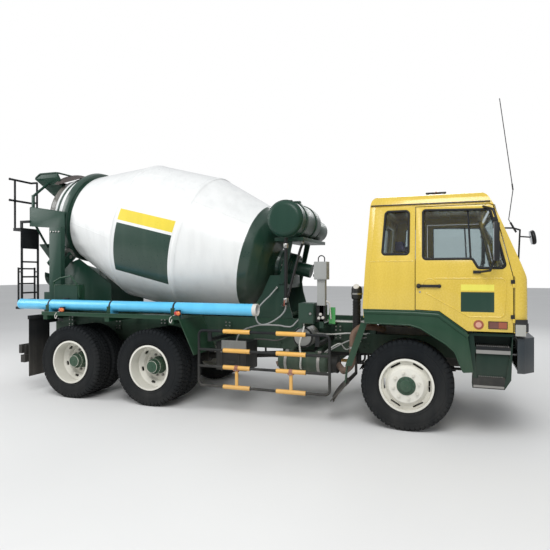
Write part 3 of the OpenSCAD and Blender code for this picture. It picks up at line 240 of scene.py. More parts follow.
def makeWeatherGroup():
    # Dust that gathers low down and in streaks, with a little change in the paint itself
    group, start, end = newGroup("roadWeather", [
        ("Paint", "Color", (0.5, 0.5, 0.5, 1)),
        ("Dust", "Color", (0.36, 0.33, 0.28, 1)),
        ("Amount", "Float", 0.5),
        ("Dust Height", "Float", 1.2),
        ("Fade", "Float", 0.8),
        ("Gloss", "Float", 0.4),
    ], [("Color", "Color"), ("Roughness", "Float"), ("Height", "Float")])
    where = addNode(group, "TexCoord").outputs["Object"]
    split = addNode(group, "SeparateXYZ")
    group.links.new(where, split.inputs[0])
    below = addMath(group, "SUBTRACT", start.outputs["Dust Height"], split.outputs["Z"])
    low = addRange(group, below, 0.0, start.outputs["Fade"])
    dusty, streak, speck = addGrime(group, where, low)
    dusty = addMath(group, "MULTIPLY", dusty, start.outputs["Amount"], True)
    faded = addRange(group, streak, 0.3, 0.75, 0.93, 1.05)
    tint = addNode(group, "VectorMath", operation="SCALE")
    group.links.new(start.outputs["Paint"], tint.inputs[0])
    group.links.new(faded, tint.inputs["Scale"])
    color = addMix(group, dusty, tint.outputs["Vector"], start.outputs["Dust"])
    group.links.new(color, end.inputs["Color"])
    dull = addMath(group, "MULTIPLY", dusty, 0.5)
    rough = addMath(group, "ADD", start.outputs["Gloss"], dull)
    rough = addMath(group, "ADD", rough, addRange(group, speck, 0.3, 0.7, -0.04, 0.05), True)
    group.links.new(rough, end.inputs["Roughness"])
    height = addMath(group, "ADD", addMath(group, "MULTIPLY", speck, 0.25), dusty)
    group.links.new(height, end.inputs["Height"])
    return group


def makeWearGroup():
    # Bare spots where an edge has been knocked
    group, start, end = newGroup("edgeWear", [
        ("Color", "Color", (0.5, 0.5, 0.5, 1)),
        ("Bare", "Color", (0.2, 0.16, 0.13, 1)),
        ("Radius", "Float", 0.008),
        ("Amount", "Float", 0.6),
    ], [("Color", "Color"), ("Mask", "Float")])
    bevel = addNode(group, "Bevel", samples=4)
    group.links.new(start.outputs["Radius"], bevel.inputs["Radius"])
    flat = addNode(group, "NewGeometry")
    dot = addNode(group, "VectorMath", operation="DOT_PRODUCT")
    group.links.new(bevel.outputs["Normal"], dot.inputs[0])
    group.links.new(flat.outputs["Normal"], dot.inputs[1])
    edge = addRange(group, dot.outputs["Value"], 0.985, 0.86)
    where = addNode(group, "TexCoord").outputs["Object"]
    patch = addRange(group, addNoise(group, where, 14.0, 6.0), 0.47, 0.62)
    mask = addMath(group, "MULTIPLY", edge, patch)
    mask = addMath(group, "MULTIPLY", mask, start.outputs["Amount"], True)
    group.links.new(addMix(group, mask, start.outputs["Color"], start.outputs["Bare"]), end.inputs["Color"])
    group.links.new(mask, end.inputs["Mask"])
    return group


weatherGroup = makeWeatherGroup()
wearGroup = makeWearGroup()

# Paint, amount and height of the dust, its fade, gloss; coat, metal, wear and shine where they differ
finishTable = {
    "cabYellow": dict(paint=(0.66, 0.47, 0.055), dust=0.16, top=1.35, fade=0.9, gloss=0.26, coat=0.55),
    "fenderGreen": dict(paint=(0.0095, 0.046, 0.022), dust=0.11, top=1.2, fade=0.9, gloss=0.36, coat=0.1,
                        wear=0.35, shine=0.3),
    "frameGreen": dict(paint=(0.009, 0.042, 0.024), dust=0.22, top=1.25, fade=0.7, gloss=0.42, wear=0.4,
                       shine=0.2),
    "bodyGreen": dict(paint=(0.011, 0.043, 0.028), dust=0.10, top=1.7, fade=1.0, gloss=0.38, coat=0.08,
                      wear=0.25, shine=0.25),
    "chassisBlack": dict(paint=(0.010, 0.012, 0.0135), dust=0.2, top=1.0, fade=0.8, gloss=0.48, wear=0.25,
                         shine=0.2),
    "bumperGrey": dict(paint=(0.026, 0.034, 0.040), dust=0.2, top=0.95, fade=0.4, gloss=0.36, coat=0.05,
                       shine=0.3),
    "castGrey": dict(paint=(0.10, 0.10, 0.098), dust=0.6, top=1.3, fade=0.8, gloss=0.55, metal=0.4),
    "wornSteel": dict(paint=(0.36, 0.355, 0.34), dust=0.3, top=1.3, fade=0.8, gloss=0.32, metal=0.9),
    "rustBrown": dict(paint=(0.145, 0.075, 0.045), dust=0.5, top=1.3, fade=0.9, gloss=0.7, metal=0.2),
    "rimCream": dict(paint=(0.76, 0.745, 0.67), dust=0.26, top=0.85, fade=0.7, gloss=0.4, wear=0.25),
    "hubGreen": dict(paint=(0.011, 0.060, 0.032), dust=0.2, top=0.9, fade=0.6, gloss=0.38, wear=0.3,
                     shine=0.25),
    "pipeBlue": dict(paint=(0.10, 0.53, 0.84), dust=0.22, top=1.4, fade=0.5, gloss=0.3, coat=0.2),
    "guardYellow": dict(paint=(0.78, 0.43, 0.09), dust=0.16, top=1.0, fade=0.6, gloss=0.36, wear=0.4),
    "tyreBlack": dict(paint=(0.0075, 0.0095, 0.0115), dust=0.09, top=1.0, fade=1.6, gloss=0.7, shine=0.12),
    "sheetRubber": dict(paint=(0.014, 0.015, 0.016), dust=0.25, top=0.9, fade=0.5, gloss=0.7, shine=0.2),
    "trimBlack": dict(paint=(0.013, 0.014, 0.015), dust=0.15, top=1.4, fade=0.8, gloss=0.42, shine=0.3),
    "hoseGrey": dict(paint=(0.30, 0.31, 0.31), dust=0.4, top=1.3, fade=0.7, gloss=0.5),
    "hoseBlack": dict(paint=(0.018, 0.018, 0.02), dust=0.35, top=1.3, fade=0.7, gloss=0.45),
    "ventGrey": dict(paint=(0.33, 0.34, 0.33), dust=0.4, top=1.1, fade=0.5, gloss=0.5, metal=0.3),
    "lightGreen": dict(paint=(0.06, 0.34, 0.09), dust=0.3, top=1.3, fade=0.5, gloss=0.4),
    # Step pocket green, darker than the fender green: painted shade in the recess of the step box
    "shadedStepGreen": dict(paint=(0.006, 0.025, 0.017), dust=0.10, top=1.1, fade=0.6, gloss=0.4, wear=0.3,
                      shine=0.2),
    "sealRubber": dict(paint=(0.012, 0.013, 0.014), dust=0.12, top=1.4, fade=0.8, gloss=0.5, shine=0.25),
    "signalRed": dict(paint=(0.48, 0.035, 0.025), dust=0.12, top=1.3, fade=0.6, gloss=0.16, coat=0.6),
    "signalOrange": dict(paint=(0.72, 0.17, 0.03), dust=0.12, top=1.3, fade=0.6, gloss=0.16, coat=0.6),
    "lampBrown": dict(paint=(0.13, 0.04, 0.03), dust=0.15, top=1.3, fade=0.6, gloss=0.2, coat=0.5),
    "lampPink": dict(paint=(0.62, 0.32, 0.24), dust=0.15, top=1.3, fade=0.6, gloss=0.3),
    "doorYellow": dict(paint=(0.74, 0.68, 0.10), dust=0.12, top=1.35, fade=0.9, gloss=0.3),
    "lampPale": dict(paint=(0.36, 0.36, 0.33), dust=0.25, top=1.3, fade=0.6, gloss=0.12, coat=0.7),
    "paleGrey": dict(paint=(0.62, 0.60, 0.56), dust=0.2, top=1.3, fade=0.6, gloss=0.4),
    "apronBrown": dict(paint=(0.045, 0.034, 0.032), dust=0.3, top=4.0, fade=3.0, gloss=0.6),
    "clampRed": dict(paint=(0.30, 0.075, 0.035), dust=0.3, top=1.2, fade=0.6, gloss=0.5, wear=0.3),
    "hosePale": dict(paint=(0.58, 0.59, 0.56), dust=0.3, top=1.3, fade=0.7, gloss=0.5),
    "mirrorGlass": dict(paint=(0.78, 0.79, 0.80), dust=0.03, top=1.3, fade=0.6, gloss=0.04, metal=1.0),
    "seatCloth": dict(paint=(0.11, 0.08, 0.21), dust=0.0, top=1.0, fade=1.0, gloss=0.85),
    "dashGrey": dict(paint=(0.06, 0.062, 0.065), dust=0.05, top=1.5, fade=1.0, gloss=0.6),
}
dustColor = (0.30, 0.275, 0.235, 1.0)


def makeFinish(name, paint, dust, top, fade, gloss, coat=0.0, metal=0.0, wear=0.0, shine=0.5):
    mat = bpy.data.materials.new(name)
    mat.use_nodes = True
    tree = mat.node_tree
    shader = tree.nodes["Principled BSDF"]
    shader.inputs["Metallic"].default_value = metal
    shader.inputs["Specular IOR Level"].default_value = shine
    shader.inputs["Coat Weight"].default_value = coat
    shader.inputs["Coat Roughness"].default_value = 0.12
    weather = tree.nodes.new("ShaderNodeGroup")
    weather.node_tree = weatherGroup
    for label, value in (("Paint", (*paint, 1.0)), ("Dust", dustColor), ("Amount", dust),
                         ("Dust Height", top), ("Fade", fade), ("Gloss", gloss)):
        weather.inputs[label].default_value = value
    color = weather.outputs["Color"]
    if wear:
        edge = tree.nodes.new("ShaderNodeGroup")
        edge.node_tree = wearGroup
        edge.inputs["Amount"].default_value = wear
        tree.links.new(color, edge.inputs["Color"])
        color = edge.outputs["Color"]
    tree.links.new(color, shader.inputs["Base Color"])
    tree.links.new(weather.outputs["Roughness"], shader.inputs["Roughness"])
    bump = addNode(tree, "Bump", Strength=0.25, Distance=0.0015)
    tree.links.new(weather.outputs["Height"], bump.inputs["Height"])
    tree.links.new(bump.outputs["Normal"], shader.inputs["Normal"])
    return mat


finish = {name: makeFinish(name, **values) for name, values in finishTable.items()}


def makeGlass(name, tint, rough=0.02):
    mat = bpy.data.materials.new(name)
    mat.use_nodes = True
    tree = mat.node_tree
    shader = tree.nodes["Principled BSDF"]
    shader.inputs["Base Color"].default_value = (*tint, 1.0)
    shader.inputs["Transmission Weight"].default_value = 1.0
    shader.inputs["IOR"].default_value = 1.45
    where = addNode(tree, "TexCoord").outputs["Object"]
    film = addNoise(tree, where, 5.0, 5.0)
    tree.links.new(addRange(tree, film, 0.35, 0.75, rough, rough + 0.05), shader.inputs["Roughness"])
    return mat


finish["cabGlass"] = makeGlass("cabGlass", (0.72, 0.80, 0.80))
print("finishes made:", len(finish))

finishNodes = {
    "frameGreen": ("frame_rails", "subframe", "side_tanks"),
    "castGrey": ("engine",),
    "chassisBlack": ("front_axle", "rear_axles", "springs", "battery_box", "side_guards", "rear_bumper",
                     "platform", "knuckle_left", "knuckle_right", "tie_rod", "ladder_lower"),
    "fenderGreen": ("rear_fenders", "cab_fenders"),
    "sheetRubber": ("mud_flaps",),
    "bumperGrey": ("front_bumper",),
    "bodyGreen": ("front_pedestal", "drum_drive", "water_tank", "rear_pedestal", "hopper",
                  "discharge_funnel", "control_stand", "chute_bracket", "chute", "chute_extension"),
    "pipeBlue": ("side_pipe",),
    "rustBrown": ("exhaust",),
    "drumWhite": ("drum",),
    "wornSteel": ("roller_left", "roller_right"),
    "cabYellow": ("cab_floor", "cab_side_left", "cab_side_right", "cab_roof", "cab_front", "door_left",
                  "door_right"),
    "dashGrey": ("cab_interior",),
    "cabGlass": ("cab_glass", "door_glass_left", "door_glass_right"),
    "trimBlack": ("cab_fittings",),
    "hoseGrey": ("hoses",),
    "seatCloth": ("seats",),
}
nodeFinish = {name: label for label, names in finishNodes.items() for name in names}
for nodeName in nodes:
    if nodeName.startswith("tyre_"):
        nodeFinish[nodeName] = "sheetRubber"
    if nodeName.startswith("rim_"):
        nodeFinish[nodeName] = "rimCream"


# Bands lie between two distances along the axis, panels also between two heights beside it
drumPaint = {
    "white": (0.80, 0.81, 0.80),
    "lip": (0.12, 0.115, 0.10, 1.0),
    "yellow": (0.78, 0.62, 0.05, 1.0),
    "green": (*finishTable["bodyGreen"]["paint"], 1.0),
    "bands": ((2.995, 9.0, "green"), (-0.155, 0.055, "green"), (-0.31, -0.255, "green"),
              (-9.0, -0.365, "lip")),
    "panels": ((1.17, 2.07, -0.60, 0.08, "green"), (1.17, 2.07, 0.12, 0.28, "yellow")),
    "panelOut": 0.5,
}


def measureAlong(tree, where, direction):
    dot = addNode(tree, "VectorMath", operation="DOT_PRODUCT")
    dot.inputs[1].default_value = direction
    tree.links.new(where, dot.inputs[0])
    return dot.outputs["Value"]


def testBetween(tree, value, low, high):
    return [addMath(tree, "GREATER_THAN", value, low), addMath(tree, "LESS_THAN", value, high)]


def addWhere(tree, tests, paint, color):
    # The color where every test is one, else the paint so far
    inside = tests[0]
    for test in tests[1:]:
        inside = addMath(tree, "MULTIPLY", inside, test)
    return addMix(tree, inside, paint, color)


def makeDrumWhite():
    # White shell, green at the ring and the dished head, grey lip, and a plain panel on both sides
    mat = makeFinish("drumWhite", drumPaint["white"], dust=0.3, top=1.9, fade=0.9, gloss=0.3, coat=0.3)
    tree = mat.node_tree
    weather = [n for n in tree.nodes if n.type == "GROUP"][0]
    where = addNode(tree, "TexCoord").outputs["Object"]
    along = measureAlong(tree, where, drumAxis)
    start = drumAxis.dot(drumOrigin)
    paint = (*drumPaint["white"], 1.0)
    for low, high, color in drumPaint["bands"]:
        tests = testBetween(tree, along, start + low, start + high)
        paint = addWhere(tree, tests, paint, drumPaint[color])
    split = addNode(tree, "SeparateXYZ")
    tree.links.new(where, split.inputs[0])
    side = addMath(tree, "ABSOLUTE", split.outputs["Y"], 0.0)
    height = measureAlong(tree, where, (math.sin(drumAngle), 0.0, math.cos(drumAngle)))
    upFrom = drumOrigin.z * math.cos(drumAngle) + drumOrigin.x * math.sin(drumAngle)
    for low, high, bottom, top, color in drumPaint["panels"]:
        tests = testBetween(tree, along, start + low, start + high)
        tests += testBetween(tree, height, upFrom + bottom, upFrom + top)
        tests.append(addMath(tree, "GREATER_THAN", side, drumPaint["panelOut"]))
        paint = addWhere(tree, tests, paint, drumPaint[color])
    tree.links.new(paint, weather.inputs["Paint"])
    return mat


finish["drumWhite"] = makeDrumWhite()


def paintNodes():
    for name, part in nodes.items():
        label = nodeFinish[name]
        part.data.materials.clear()
        part.data.materials.append(finish[label])


paintNodes()
print("model painted")


# Shape makers

nodeTreeSockets = {"Radius": "Float", "Corner": "Float", "Sides": "Int", "Count": "Int",
                   "Step": "Vector", "Turn": "Float", "Material": "Material"}


def newShapeTree(name, labels):
    tree = bpy.data.node_groups.new(name, "GeometryNodeTree")
    tree.interface.new_socket("Geometry", in_out="INPUT", socket_type="NodeSocketGeometry")
    for label in labels:
        kind = "NodeSocket" + nodeTreeSockets[label]
        tree.interface.new_socket(label, in_out="INPUT", socket_type=kind)
    tree.interface.new_socket("Geometry", in_out="OUTPUT", socket_type="NodeSocketGeometry")
    return tree, tree.nodes.new("NodeGroupInput"), tree.nodes.new("NodeGroupOutput")


def makeTubeTree():
    # A round tube along an open or closed line, with rounded corners
    tree, start, end = newShapeTree("tubeAlongLine", ["Radius", "Corner", "Sides", "Material"])
    curve = tree.nodes.new("GeometryNodeMeshToCurve")
    fillet = tree.nodes.new("GeometryNodeFilletCurve")
    fillet.mode = "POLY"
    fillet.inputs["Count"].default_value = 5
    fillet.inputs["Limit Radius"].default_value = True
    ring = tree.nodes.new("GeometryNodeCurvePrimitiveCircle")
    sweep = tree.nodes.new("GeometryNodeCurveToMesh")
    sweep.inputs["Fill Caps"].default_value = True
    paint = tree.nodes.new("GeometryNodeSetMaterial")
    link = tree.links.new
    link(start.outputs["Geometry"], curve.inputs[0])
    link(curve.outputs[0], fillet.inputs["Curve"])
    link(start.outputs["Corner"], fillet.inputs["Radius"])
    link(start.outputs["Sides"], ring.inputs["Resolution"])
    link(start.outputs["Radius"], ring.inputs["Radius"])
    link(fillet.outputs[0], sweep.inputs["Curve"])
    link(ring.outputs[0], sweep.inputs["Profile Curve"])
    link(sweep.outputs[0], paint.inputs["Geometry"])
    link(start.outputs["Material"], paint.inputs["Material"])
    link(paint.outputs[0], end.inputs[0])
    return tree


def makeRepeatTree():
    # Copies of one shape, each a step and a turn about z on from the last
    tree, start, end = newShapeTree("repeatInStep", ["Count", "Step", "Turn", "Material"])
    points = tree.nodes.new("GeometryNodePoints")
    index = tree.nodes.new("GeometryNodeInputIndex")
    move = tree.nodes.new("ShaderNodeVectorMath")
    move.operation = "SCALE"
    angle = tree.nodes.new("ShaderNodeMath")
    angle.operation = "MULTIPLY"
    spin = tree.nodes.new("ShaderNodeCombineXYZ")
    copies = tree.nodes.new("GeometryNodeInstanceOnPoints")
    solid = tree.nodes.new("GeometryNodeRealizeInstances")
    paint = tree.nodes.new("GeometryNodeSetMaterial")
    link = tree.links.new
    link(start.outputs["Count"], points.inputs["Count"])
    link(start.outputs["Step"], move.inputs[0])
    link(index.outputs[0], move.inputs["Scale"])
    link(move.outputs["Vector"], points.inputs["Position"])
    link(start.outputs["Turn"], angle.inputs[0])
    link(index.outputs[0], angle.inputs[1])
    link(angle.outputs[0], spin.inputs["Z"])
    link(points.outputs[0], copies.inputs["Points"])
    link(start.outputs["Geometry"], copies.inputs["Instance"])
    link(spin.outputs[0], copies.inputs["Rotation"])
    link(copies.outputs[0], solid.inputs[0])
    link(solid.outputs[0], paint.inputs["Geometry"])
    link(start.outputs["Material"], paint.inputs["Material"])
    link(paint.outputs[0], end.inputs[0])
    return tree


tubeTree = makeTubeTree()
repeatTree = makeRepeatTree()


def grow(tree, source, values):
    holder = bpy.data.objects.new("holder", source)
    scene.collection.objects.link(holder)
    modifier = holder.modifiers.new("shape", "NODES")
    modifier.node_group = tree
    for item in tree.interface.items_tree:
        if item.name in values:
            modifier[item.identifier] = values[item.name]
    graph = bpy.context.evaluated_depsgraph_get()
    mesh = bpy.data.meshes.new_from_object(holder.evaluated_get(graph))
    bpy.data.objects.remove(holder)
    return mesh


def tube(points, radius, paint, corner=0.0, sides=12, closed=False):
    line = bpy.data.meshes.new("line")
    count = len(points)
    edges = [(i, (i + 1) % count) for i in range(count if closed else count - 1)]
    line.from_pydata(points, edges, [])
    mesh = grow(tubeTree, line, {"Radius": radius, "Corner": corner, "Sides": sides,
                                 "Material": finish[paint]})
    mesh.polygons.foreach_set("use_smooth", [True] * len(mesh.polygons))
    mesh.set_sharp_from_angle(angle=math.radians(50))
    return mesh


def rod(points, radius, paint, corner=0.0, sides=12, closed=False):
    # Tube through places measured from the front axle
    return tube([place(*p) for p in points], radius, paint, corner, sides, closed)


def repeated(mesh, count, paint, step=(0, 0, 0), turn=0.0):
    values = {"Count": count, "Step": step, "Turn": turn, "Material": finish[paint]}
    return grow(repeatTree, mesh, values)


def fromBm(bm, paint, smooth=30):
    bmesh.ops.remove_doubles(bm, verts=bm.verts, dist=0.00002)
    bmesh.ops.recalc_face_normals(bm, faces=bm.faces)
    mesh = bpy.data.meshes.new("shape")
    bm.to_mesh(mesh)
    bm.free()
    mesh.materials.append(finish[paint])
    mesh.polygons.foreach_set("use_smooth", [True] * len(mesh.polygons))
    mesh.set_sharp_from_angle(angle=math.radians(smooth))
    return mesh


def bareMesh(bm, name):
    # Mesh without a finish of its own, to be repeated
    bmesh.ops.recalc_face_normals(bm, faces=bm.faces)
    mesh = bpy.data.meshes.new(name)
    bm.to_mesh(mesh)
    bm.free()
    return mesh


def closedSheet(outer, inner, spot, depths, paint, smooth):
    # Sheet of two layers on one grid, closed round its edges
    bm = bmesh.new()
    layers = [[bm.verts.new(spot(n, m, depth)) for n in range(outer + 1) for m in range(inner + 1)]
              for depth in depths]
    wide = inner + 1

    def around(a, b):
        bm.faces.new((layers[0][a], layers[0][b], layers[1][b], layers[1][a]))

    for n in range(outer):
        for m in range(inner):
            a = n * wide + m
            for grid in layers:
                bm.faces.new((grid[a], grid[a + 1], grid[a + wide + 1], grid[a + wide]))
    for m in range(inner):
        around(m, m + 1)
        around(outer * wide + m, outer * wide + m + 1)
    for n in range(outer):
        around(n * wide, (n + 1) * wide)
        around(n * wide + inner, (n + 1) * wide + inner)
    return fromBm(bm, paint, smooth)


def bevelEdges(bm, width, segments=2, angle=25):
    edges = [e for e in bm.edges if len(e.link_faces) == 2 and e.calc_face_angle() > math.radians(angle)]
    bmesh.ops.bevel(bm, geom=edges, offset=width, segments=segments, profile=0.6, affect="EDGES",
                    clamp_overlap=True)


def block(x, y, z, paint, bevel=0.004):
    # Box with rounded edges, from ranges measured from the front axle
    bm = bmesh.new()
    foot = ((x[0], y[0]), (x[1], y[0]), (x[1], y[1]), (x[0], y[1]))
    v = [bm.verts.new(place(a, b, c)) for c in z for a, b in foot]
    for ring in ((3, 2, 1, 0), (4, 5, 6, 7), (0, 1, 5, 4), (1, 2, 6, 5), (2, 3, 7, 6), (3, 0, 4, 7)):
        bm.faces.new([v[i] for i in ring])
    if bevel:
        bevelEdges(bm, bevel)
    return fromBm(bm, paint, 40)


def sidePlate(outline, y, paint, bevel=0.002):
    # Plate whose outline of x and z lies in the side view
    bm = bmesh.new()
    near = [bm.verts.new(place(a, y[0], c)) for a, c in outline]
    far = [bm.verts.new(place(a, y[1], c)) for a, c in outline]
    bm.faces.new(near)
    bm.faces.new(far[::-1])
    count = len(outline)
    for i in range(count):
        bm.faces.new((near[i], near[(i + 1) % count], far[(i + 1) % count], far[i]))
    if bevel:
        bevelEdges(bm, bevel)
    return fromBm(bm, paint, 40)


def revolve(profile, paint, steps=48, smooth=30):
    # Turned shape about z from pairs of radius and height
    bm = bmesh.new()
    rings = []
    for radius, height in profile:
        if radius < 0.00001:
            rings.append([bm.verts.new((0, 0, height))])
            continue
        turn = [2 * math.pi * i / steps for i in range(steps)]
        rings.append([bm.verts.new((radius * math.cos(a), radius * math.sin(a), height)) for a in turn])
    for low, high in zip(rings, rings[1:]):
        for i in range(steps):
            j = (i + 1) % steps
            face = [low[i % len(low)], low[j % len(low)], high[j % len(high)], high[i % len(high)]]
            unique = list(dict.fromkeys(face))
            if len(unique) > 2:
                bm.faces.new(unique)
    return fromBm(bm, paint, smooth)


def toward(origin, direction):
    # Matrix that stands a shape made about z at a point, with z along a direction
    turn = Vector(direction).to_track_quat("Z", "Y").to_matrix().to_4x4()
    return Matrix.Translation(origin) @ turn


def lying(x, y, z):
    # Matrix that lays a shape made about z along the truck
    return Matrix.Translation(place(x, y, z)) @ Matrix.Rotation(math.pi / 2, 4, "Y")


def moved(mesh, matrix):
    mesh.transform(matrix)
    if matrix.determinant() < 0:
        mesh.flip_normals()
    return mesh


def standing(mesh, spot, direction):
    # Shape made about z, stood at a place with z along a direction
    return moved(mesh, toward(place(*spot), direction))


def mirrored(mesh):
    return moved(mesh.copy(), Matrix.Scale(-1, 4, (0, 1, 0)))


def bothSides(*meshes):
    return [*meshes, *(mirrored(mesh) for mesh in meshes)]


def makePiece(name, body, slotName, *meshes):
    # One object from several shapes, each with its own finish
    bm = bmesh.new()
    paints = []
    for mesh in meshes:
        for material in mesh.materials:
            if material not in paints:
                paints.append(material)
        known = [paints.index(material) for material in mesh.materials] or [0]
        first = len(bm.faces)
        bm.from_mesh(mesh)
        bm.faces.ensure_lookup_table()
        for face in bm.faces[first:]:
            face.material_index = known[min(face.material_index, len(known) - 1)]
    joined = bpy.data.meshes.new(name)
    bm.to_mesh(joined)
    bm.free()
    for material in paints:
        joined.materials.append(material)
    piece = bpy.data.objects.new(name, joined)
    scene.collection.objects.link(piece)
    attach(piece, body)
    return piece


def dressCopy(nodeName, body, slotName, width, rule=None):
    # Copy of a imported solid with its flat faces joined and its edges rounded, in place of the solid
    bm = bmesh.new()
    bm.from_mesh(nodes[nodeName].data)
    bmesh.ops.remove_doubles(bm, verts=bm.verts, dist=0.0001)
    bmesh.ops.dissolve_limit(bm, angle_limit=math.radians(1.5), verts=bm.verts, edges=bm.edges)
    bevelEdges(bm, width, 2, 32)
    mesh = fromBm(bm, nodeFinish[nodeName], 34)
    if rule:
        labels = [nodeFinish[nodeName]]
        for face in mesh.polygons:
            label = rule(face.center) or labels[0]
            if label not in labels:
                labels.append(label)
                mesh.materials.append(finish[label])
            face.material_index = labels.index(label)
    piece = makePiece(nodeName + "_dressed", body, slotName, mesh)
    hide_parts(nodeName)


print("shape makers ready")

# Wheels, in a frame whose z points out along the axle

axleHeight = 0.51
wheelPlaces = {
    "front": dict(x=0.0, track=1.010, twin=0.0),
    "middle": dict(x=-3.32, track=0.922, twin=0.325),
    "rear": dict(x=-4.62, track=0.922, twin=0.325),
}
tyreSize = {
    "bead": 0.292, "base": 0.500, "tread": 0.509, "half": 0.140,
    "blocks": 54, "ribs": 60,
}
nutRing = {"radius": 0.1425, "count": 8, "size": 0.016}


def slantBlock(radius, top, length, width, slant, offset):
    # Tread block on the carcass: its long edges slant across the tyre
    bm = bmesh.new()
    half = length / 2
    rows = []
    for r, shrink in ((radius, 1.0), (top, 0.84)):
        for along, across in ((-1, -1), (1, -1), (1, 1), (-1, 1)):
            z = offset + across * width / 2 * shrink
            y = along * half * shrink + across * slant
            rows.append(bm.verts.new((math.sqrt(r * r - y * y), y, z)))
    bm.faces.new(rows[4:])
    for i in range(4):
        j = (i + 1) % 4
        bm.faces.new((rows[i], rows[j], rows[4 + j], rows[4 + i]))
    return bareMesh(bm, "block")


def shoulderBlock():
    # Block that wraps over the shoulder, from the tread down the sidewall
    bm = bmesh.new()
    base, tread, half = tyreSize["base"], tyreSize["tread"], tyreSize["half"]
    section = [(base - 0.004, 0.086), (tread, 0.088), (tread, half - 0.027), (tread - 0.012, half - 0.014),
               (base - 0.022, half - 0.0045), (base - 0.045, half - 0.0035), (base - 0.048, half - 0.012)]
    span = math.pi * base / tyreSize["blocks"] * 0.87
    sides = []
    for edge in (-span, span):
        ring = []
        for i, (r, z) in enumerate(section):
            y = edge * (0.86 if 0 < i < 5 else 1.0)
            ring.append(bm.verts.new((math.sqrt(r * r - y * y), y, z)))
        sides.append(ring)
    for i in range(len(section) - 1):
        bm.faces.new((sides[0][i], sides[1][i], sides[1][i + 1], sides[0][i + 1]))
    bm.faces.new(sides[0])
    bm.faces.new(sides[1][::-1])
    return bareMesh(bm, "shoulder")


def makeTyreMesh():
    bead, base, half = tyreSize["bead"], tyreSize["base"], tyreSize["half"]
    side = [(bead - 0.004, half - 0.042), (bead + 0.006, half - 0.034), (bead + 0.014, half - 0.030),
            (bead + 0.019, half - 0.024), (bead + 0.034, half - 0.014), (bead + 0.036, half - 0.010),
            (bead + 0.041, half - 0.009), (bead + 0.044, half - 0.012), (bead + 0.07, half - 0.003),
            (bead + 0.095, half), (bead + 0.125, half - 0.002), (bead + 0.128, half - 0.005),
            (bead + 0.132, half - 0.004), (base - 0.05, half - 0.006), (base - 0.02, half - 0.012),
            (base - 0.006, half - 0.026), (base, half - 0.04), (base, 0.0)]
    profile = side + [(r, -z) for r, z in side[-2::-1]]
    profile += [(bead - 0.012, -half + 0.05), (bead - 0.012, half - 0.05), side[0]]
    parts = [revolve(profile, "tyreBlack", 108, 38)]
    turn = 2 * math.pi / tyreSize["blocks"]
    shoulder = repeated(shoulderBlock(), tyreSize["blocks"], "tyreBlack", turn=turn)
    parts.append(shoulder)
    other = moved(shoulder.copy(), Matrix.Rotation(turn / 2, 4, "Z") @ Matrix.Scale(-1, 4, (0, 0, 1)))
    parts.append(other)
    ribTurn = 2 * math.pi / tyreSize["ribs"]
    length = base * ribTurn
    for offset, slant, phase in ((-0.058, 0.006, 0.0), (0.0, -0.007, 0.4), (0.058, 0.006, 0.8)):
        rib = slantBlock(base - 0.003, tyreSize["tread"], length * 0.86, 0.050, slant, offset)
        ring = repeated(rib, tyreSize["ribs"], "tyreBlack", turn=ribTurn)
        parts.append(moved(ring, Matrix.Rotation(phase * ribTurn, 4, "Z")))
    return parts


def hexNut(size, height):
    # Nut, washer and stud: sides, foot, top, height and middle, the last four as shares of the nut's
    bm = bmesh.new()
    for sides, foot, top, tall, middle in ((6, 1.0, 0.97, 1.0, 0.5), (16, 1.35, 1.3, 0.2, 0.1),
                                           (10, 0.55, 0.5, 1.5, 0.75)):
        part = bmesh.ops.create_cone(bm, cap_ends=True, segments=sides, radius1=size * foot,
                                     radius2=size * top, depth=height * tall)
        bmesh.ops.translate(bm, vec=(0, 0, height * middle), verts=part["verts"])
    mesh = bareMesh(bm, "nut")
    mesh.materials.append(finish["wornSteel"])
    return mesh


def nutCircle(radius, count, height, size, paint="wornSteel", phase=0.0):
    nut = moved(hexNut(size, size * 1.35), Matrix.Translation((radius, 0, height)))
    ring = repeated(nut, count, paint, turn=2 * math.pi / count)
    return moved(ring, Matrix.Rotation(phase, 4, "Z"))


def frontHub():
    cap = [(0.104, 0.1265), (0.104, 0.133), (0.097, 0.137), (0.080, 0.139), (0.0655, 0.146), (0.0645, 0.164),
           (0.058, 0.170), (0.020, 0.1735), (0.018, 0.1765), (0.0, 0.177)]
    bolts = nutCircle(0.088, 10, 0.1375, 0.0065, "hubGreen")
    nuts = nutCircle(nutRing["radius"], nutRing["count"], 0.1262, nutRing["size"], "rimCream", 0.2)
    return [revolve(cap, "hubGreen", 40), bolts, nuts, valveStem(0.238, 0.080)]


def twinHub():
    cap = [(0.120, 0.0203), (0.118, 0.032), (0.1065, 0.040), (0.1062, 0.148), (0.104, 0.1615),
           (0.0815, 0.1625), (0.0812, 0.205), (0.075, 0.212), (0.022, 0.214), (0.018, 0.219), (0.0, 0.2195)]
    bolts = nutCircle(0.093, 8, 0.1622, 0.008, "hubGreen", 0.3)
    nuts = nutCircle(nutRing["radius"] + 0.004, 10, 0.0203, nutRing["size"], "wornSteel", 0.1)
    return [revolve(cap, "hubGreen", 40), bolts, nuts, valveStem(0.215, 0.066)]


def valveStem(radius, height):
    line = [(radius, 0.0, height), (radius - 0.004, 0.006, height + 0.03),
            (radius + 0.012, 0.012, height + 0.052)]
    return tube(line, 0.0045, "wornSteel", 0.01, 8)


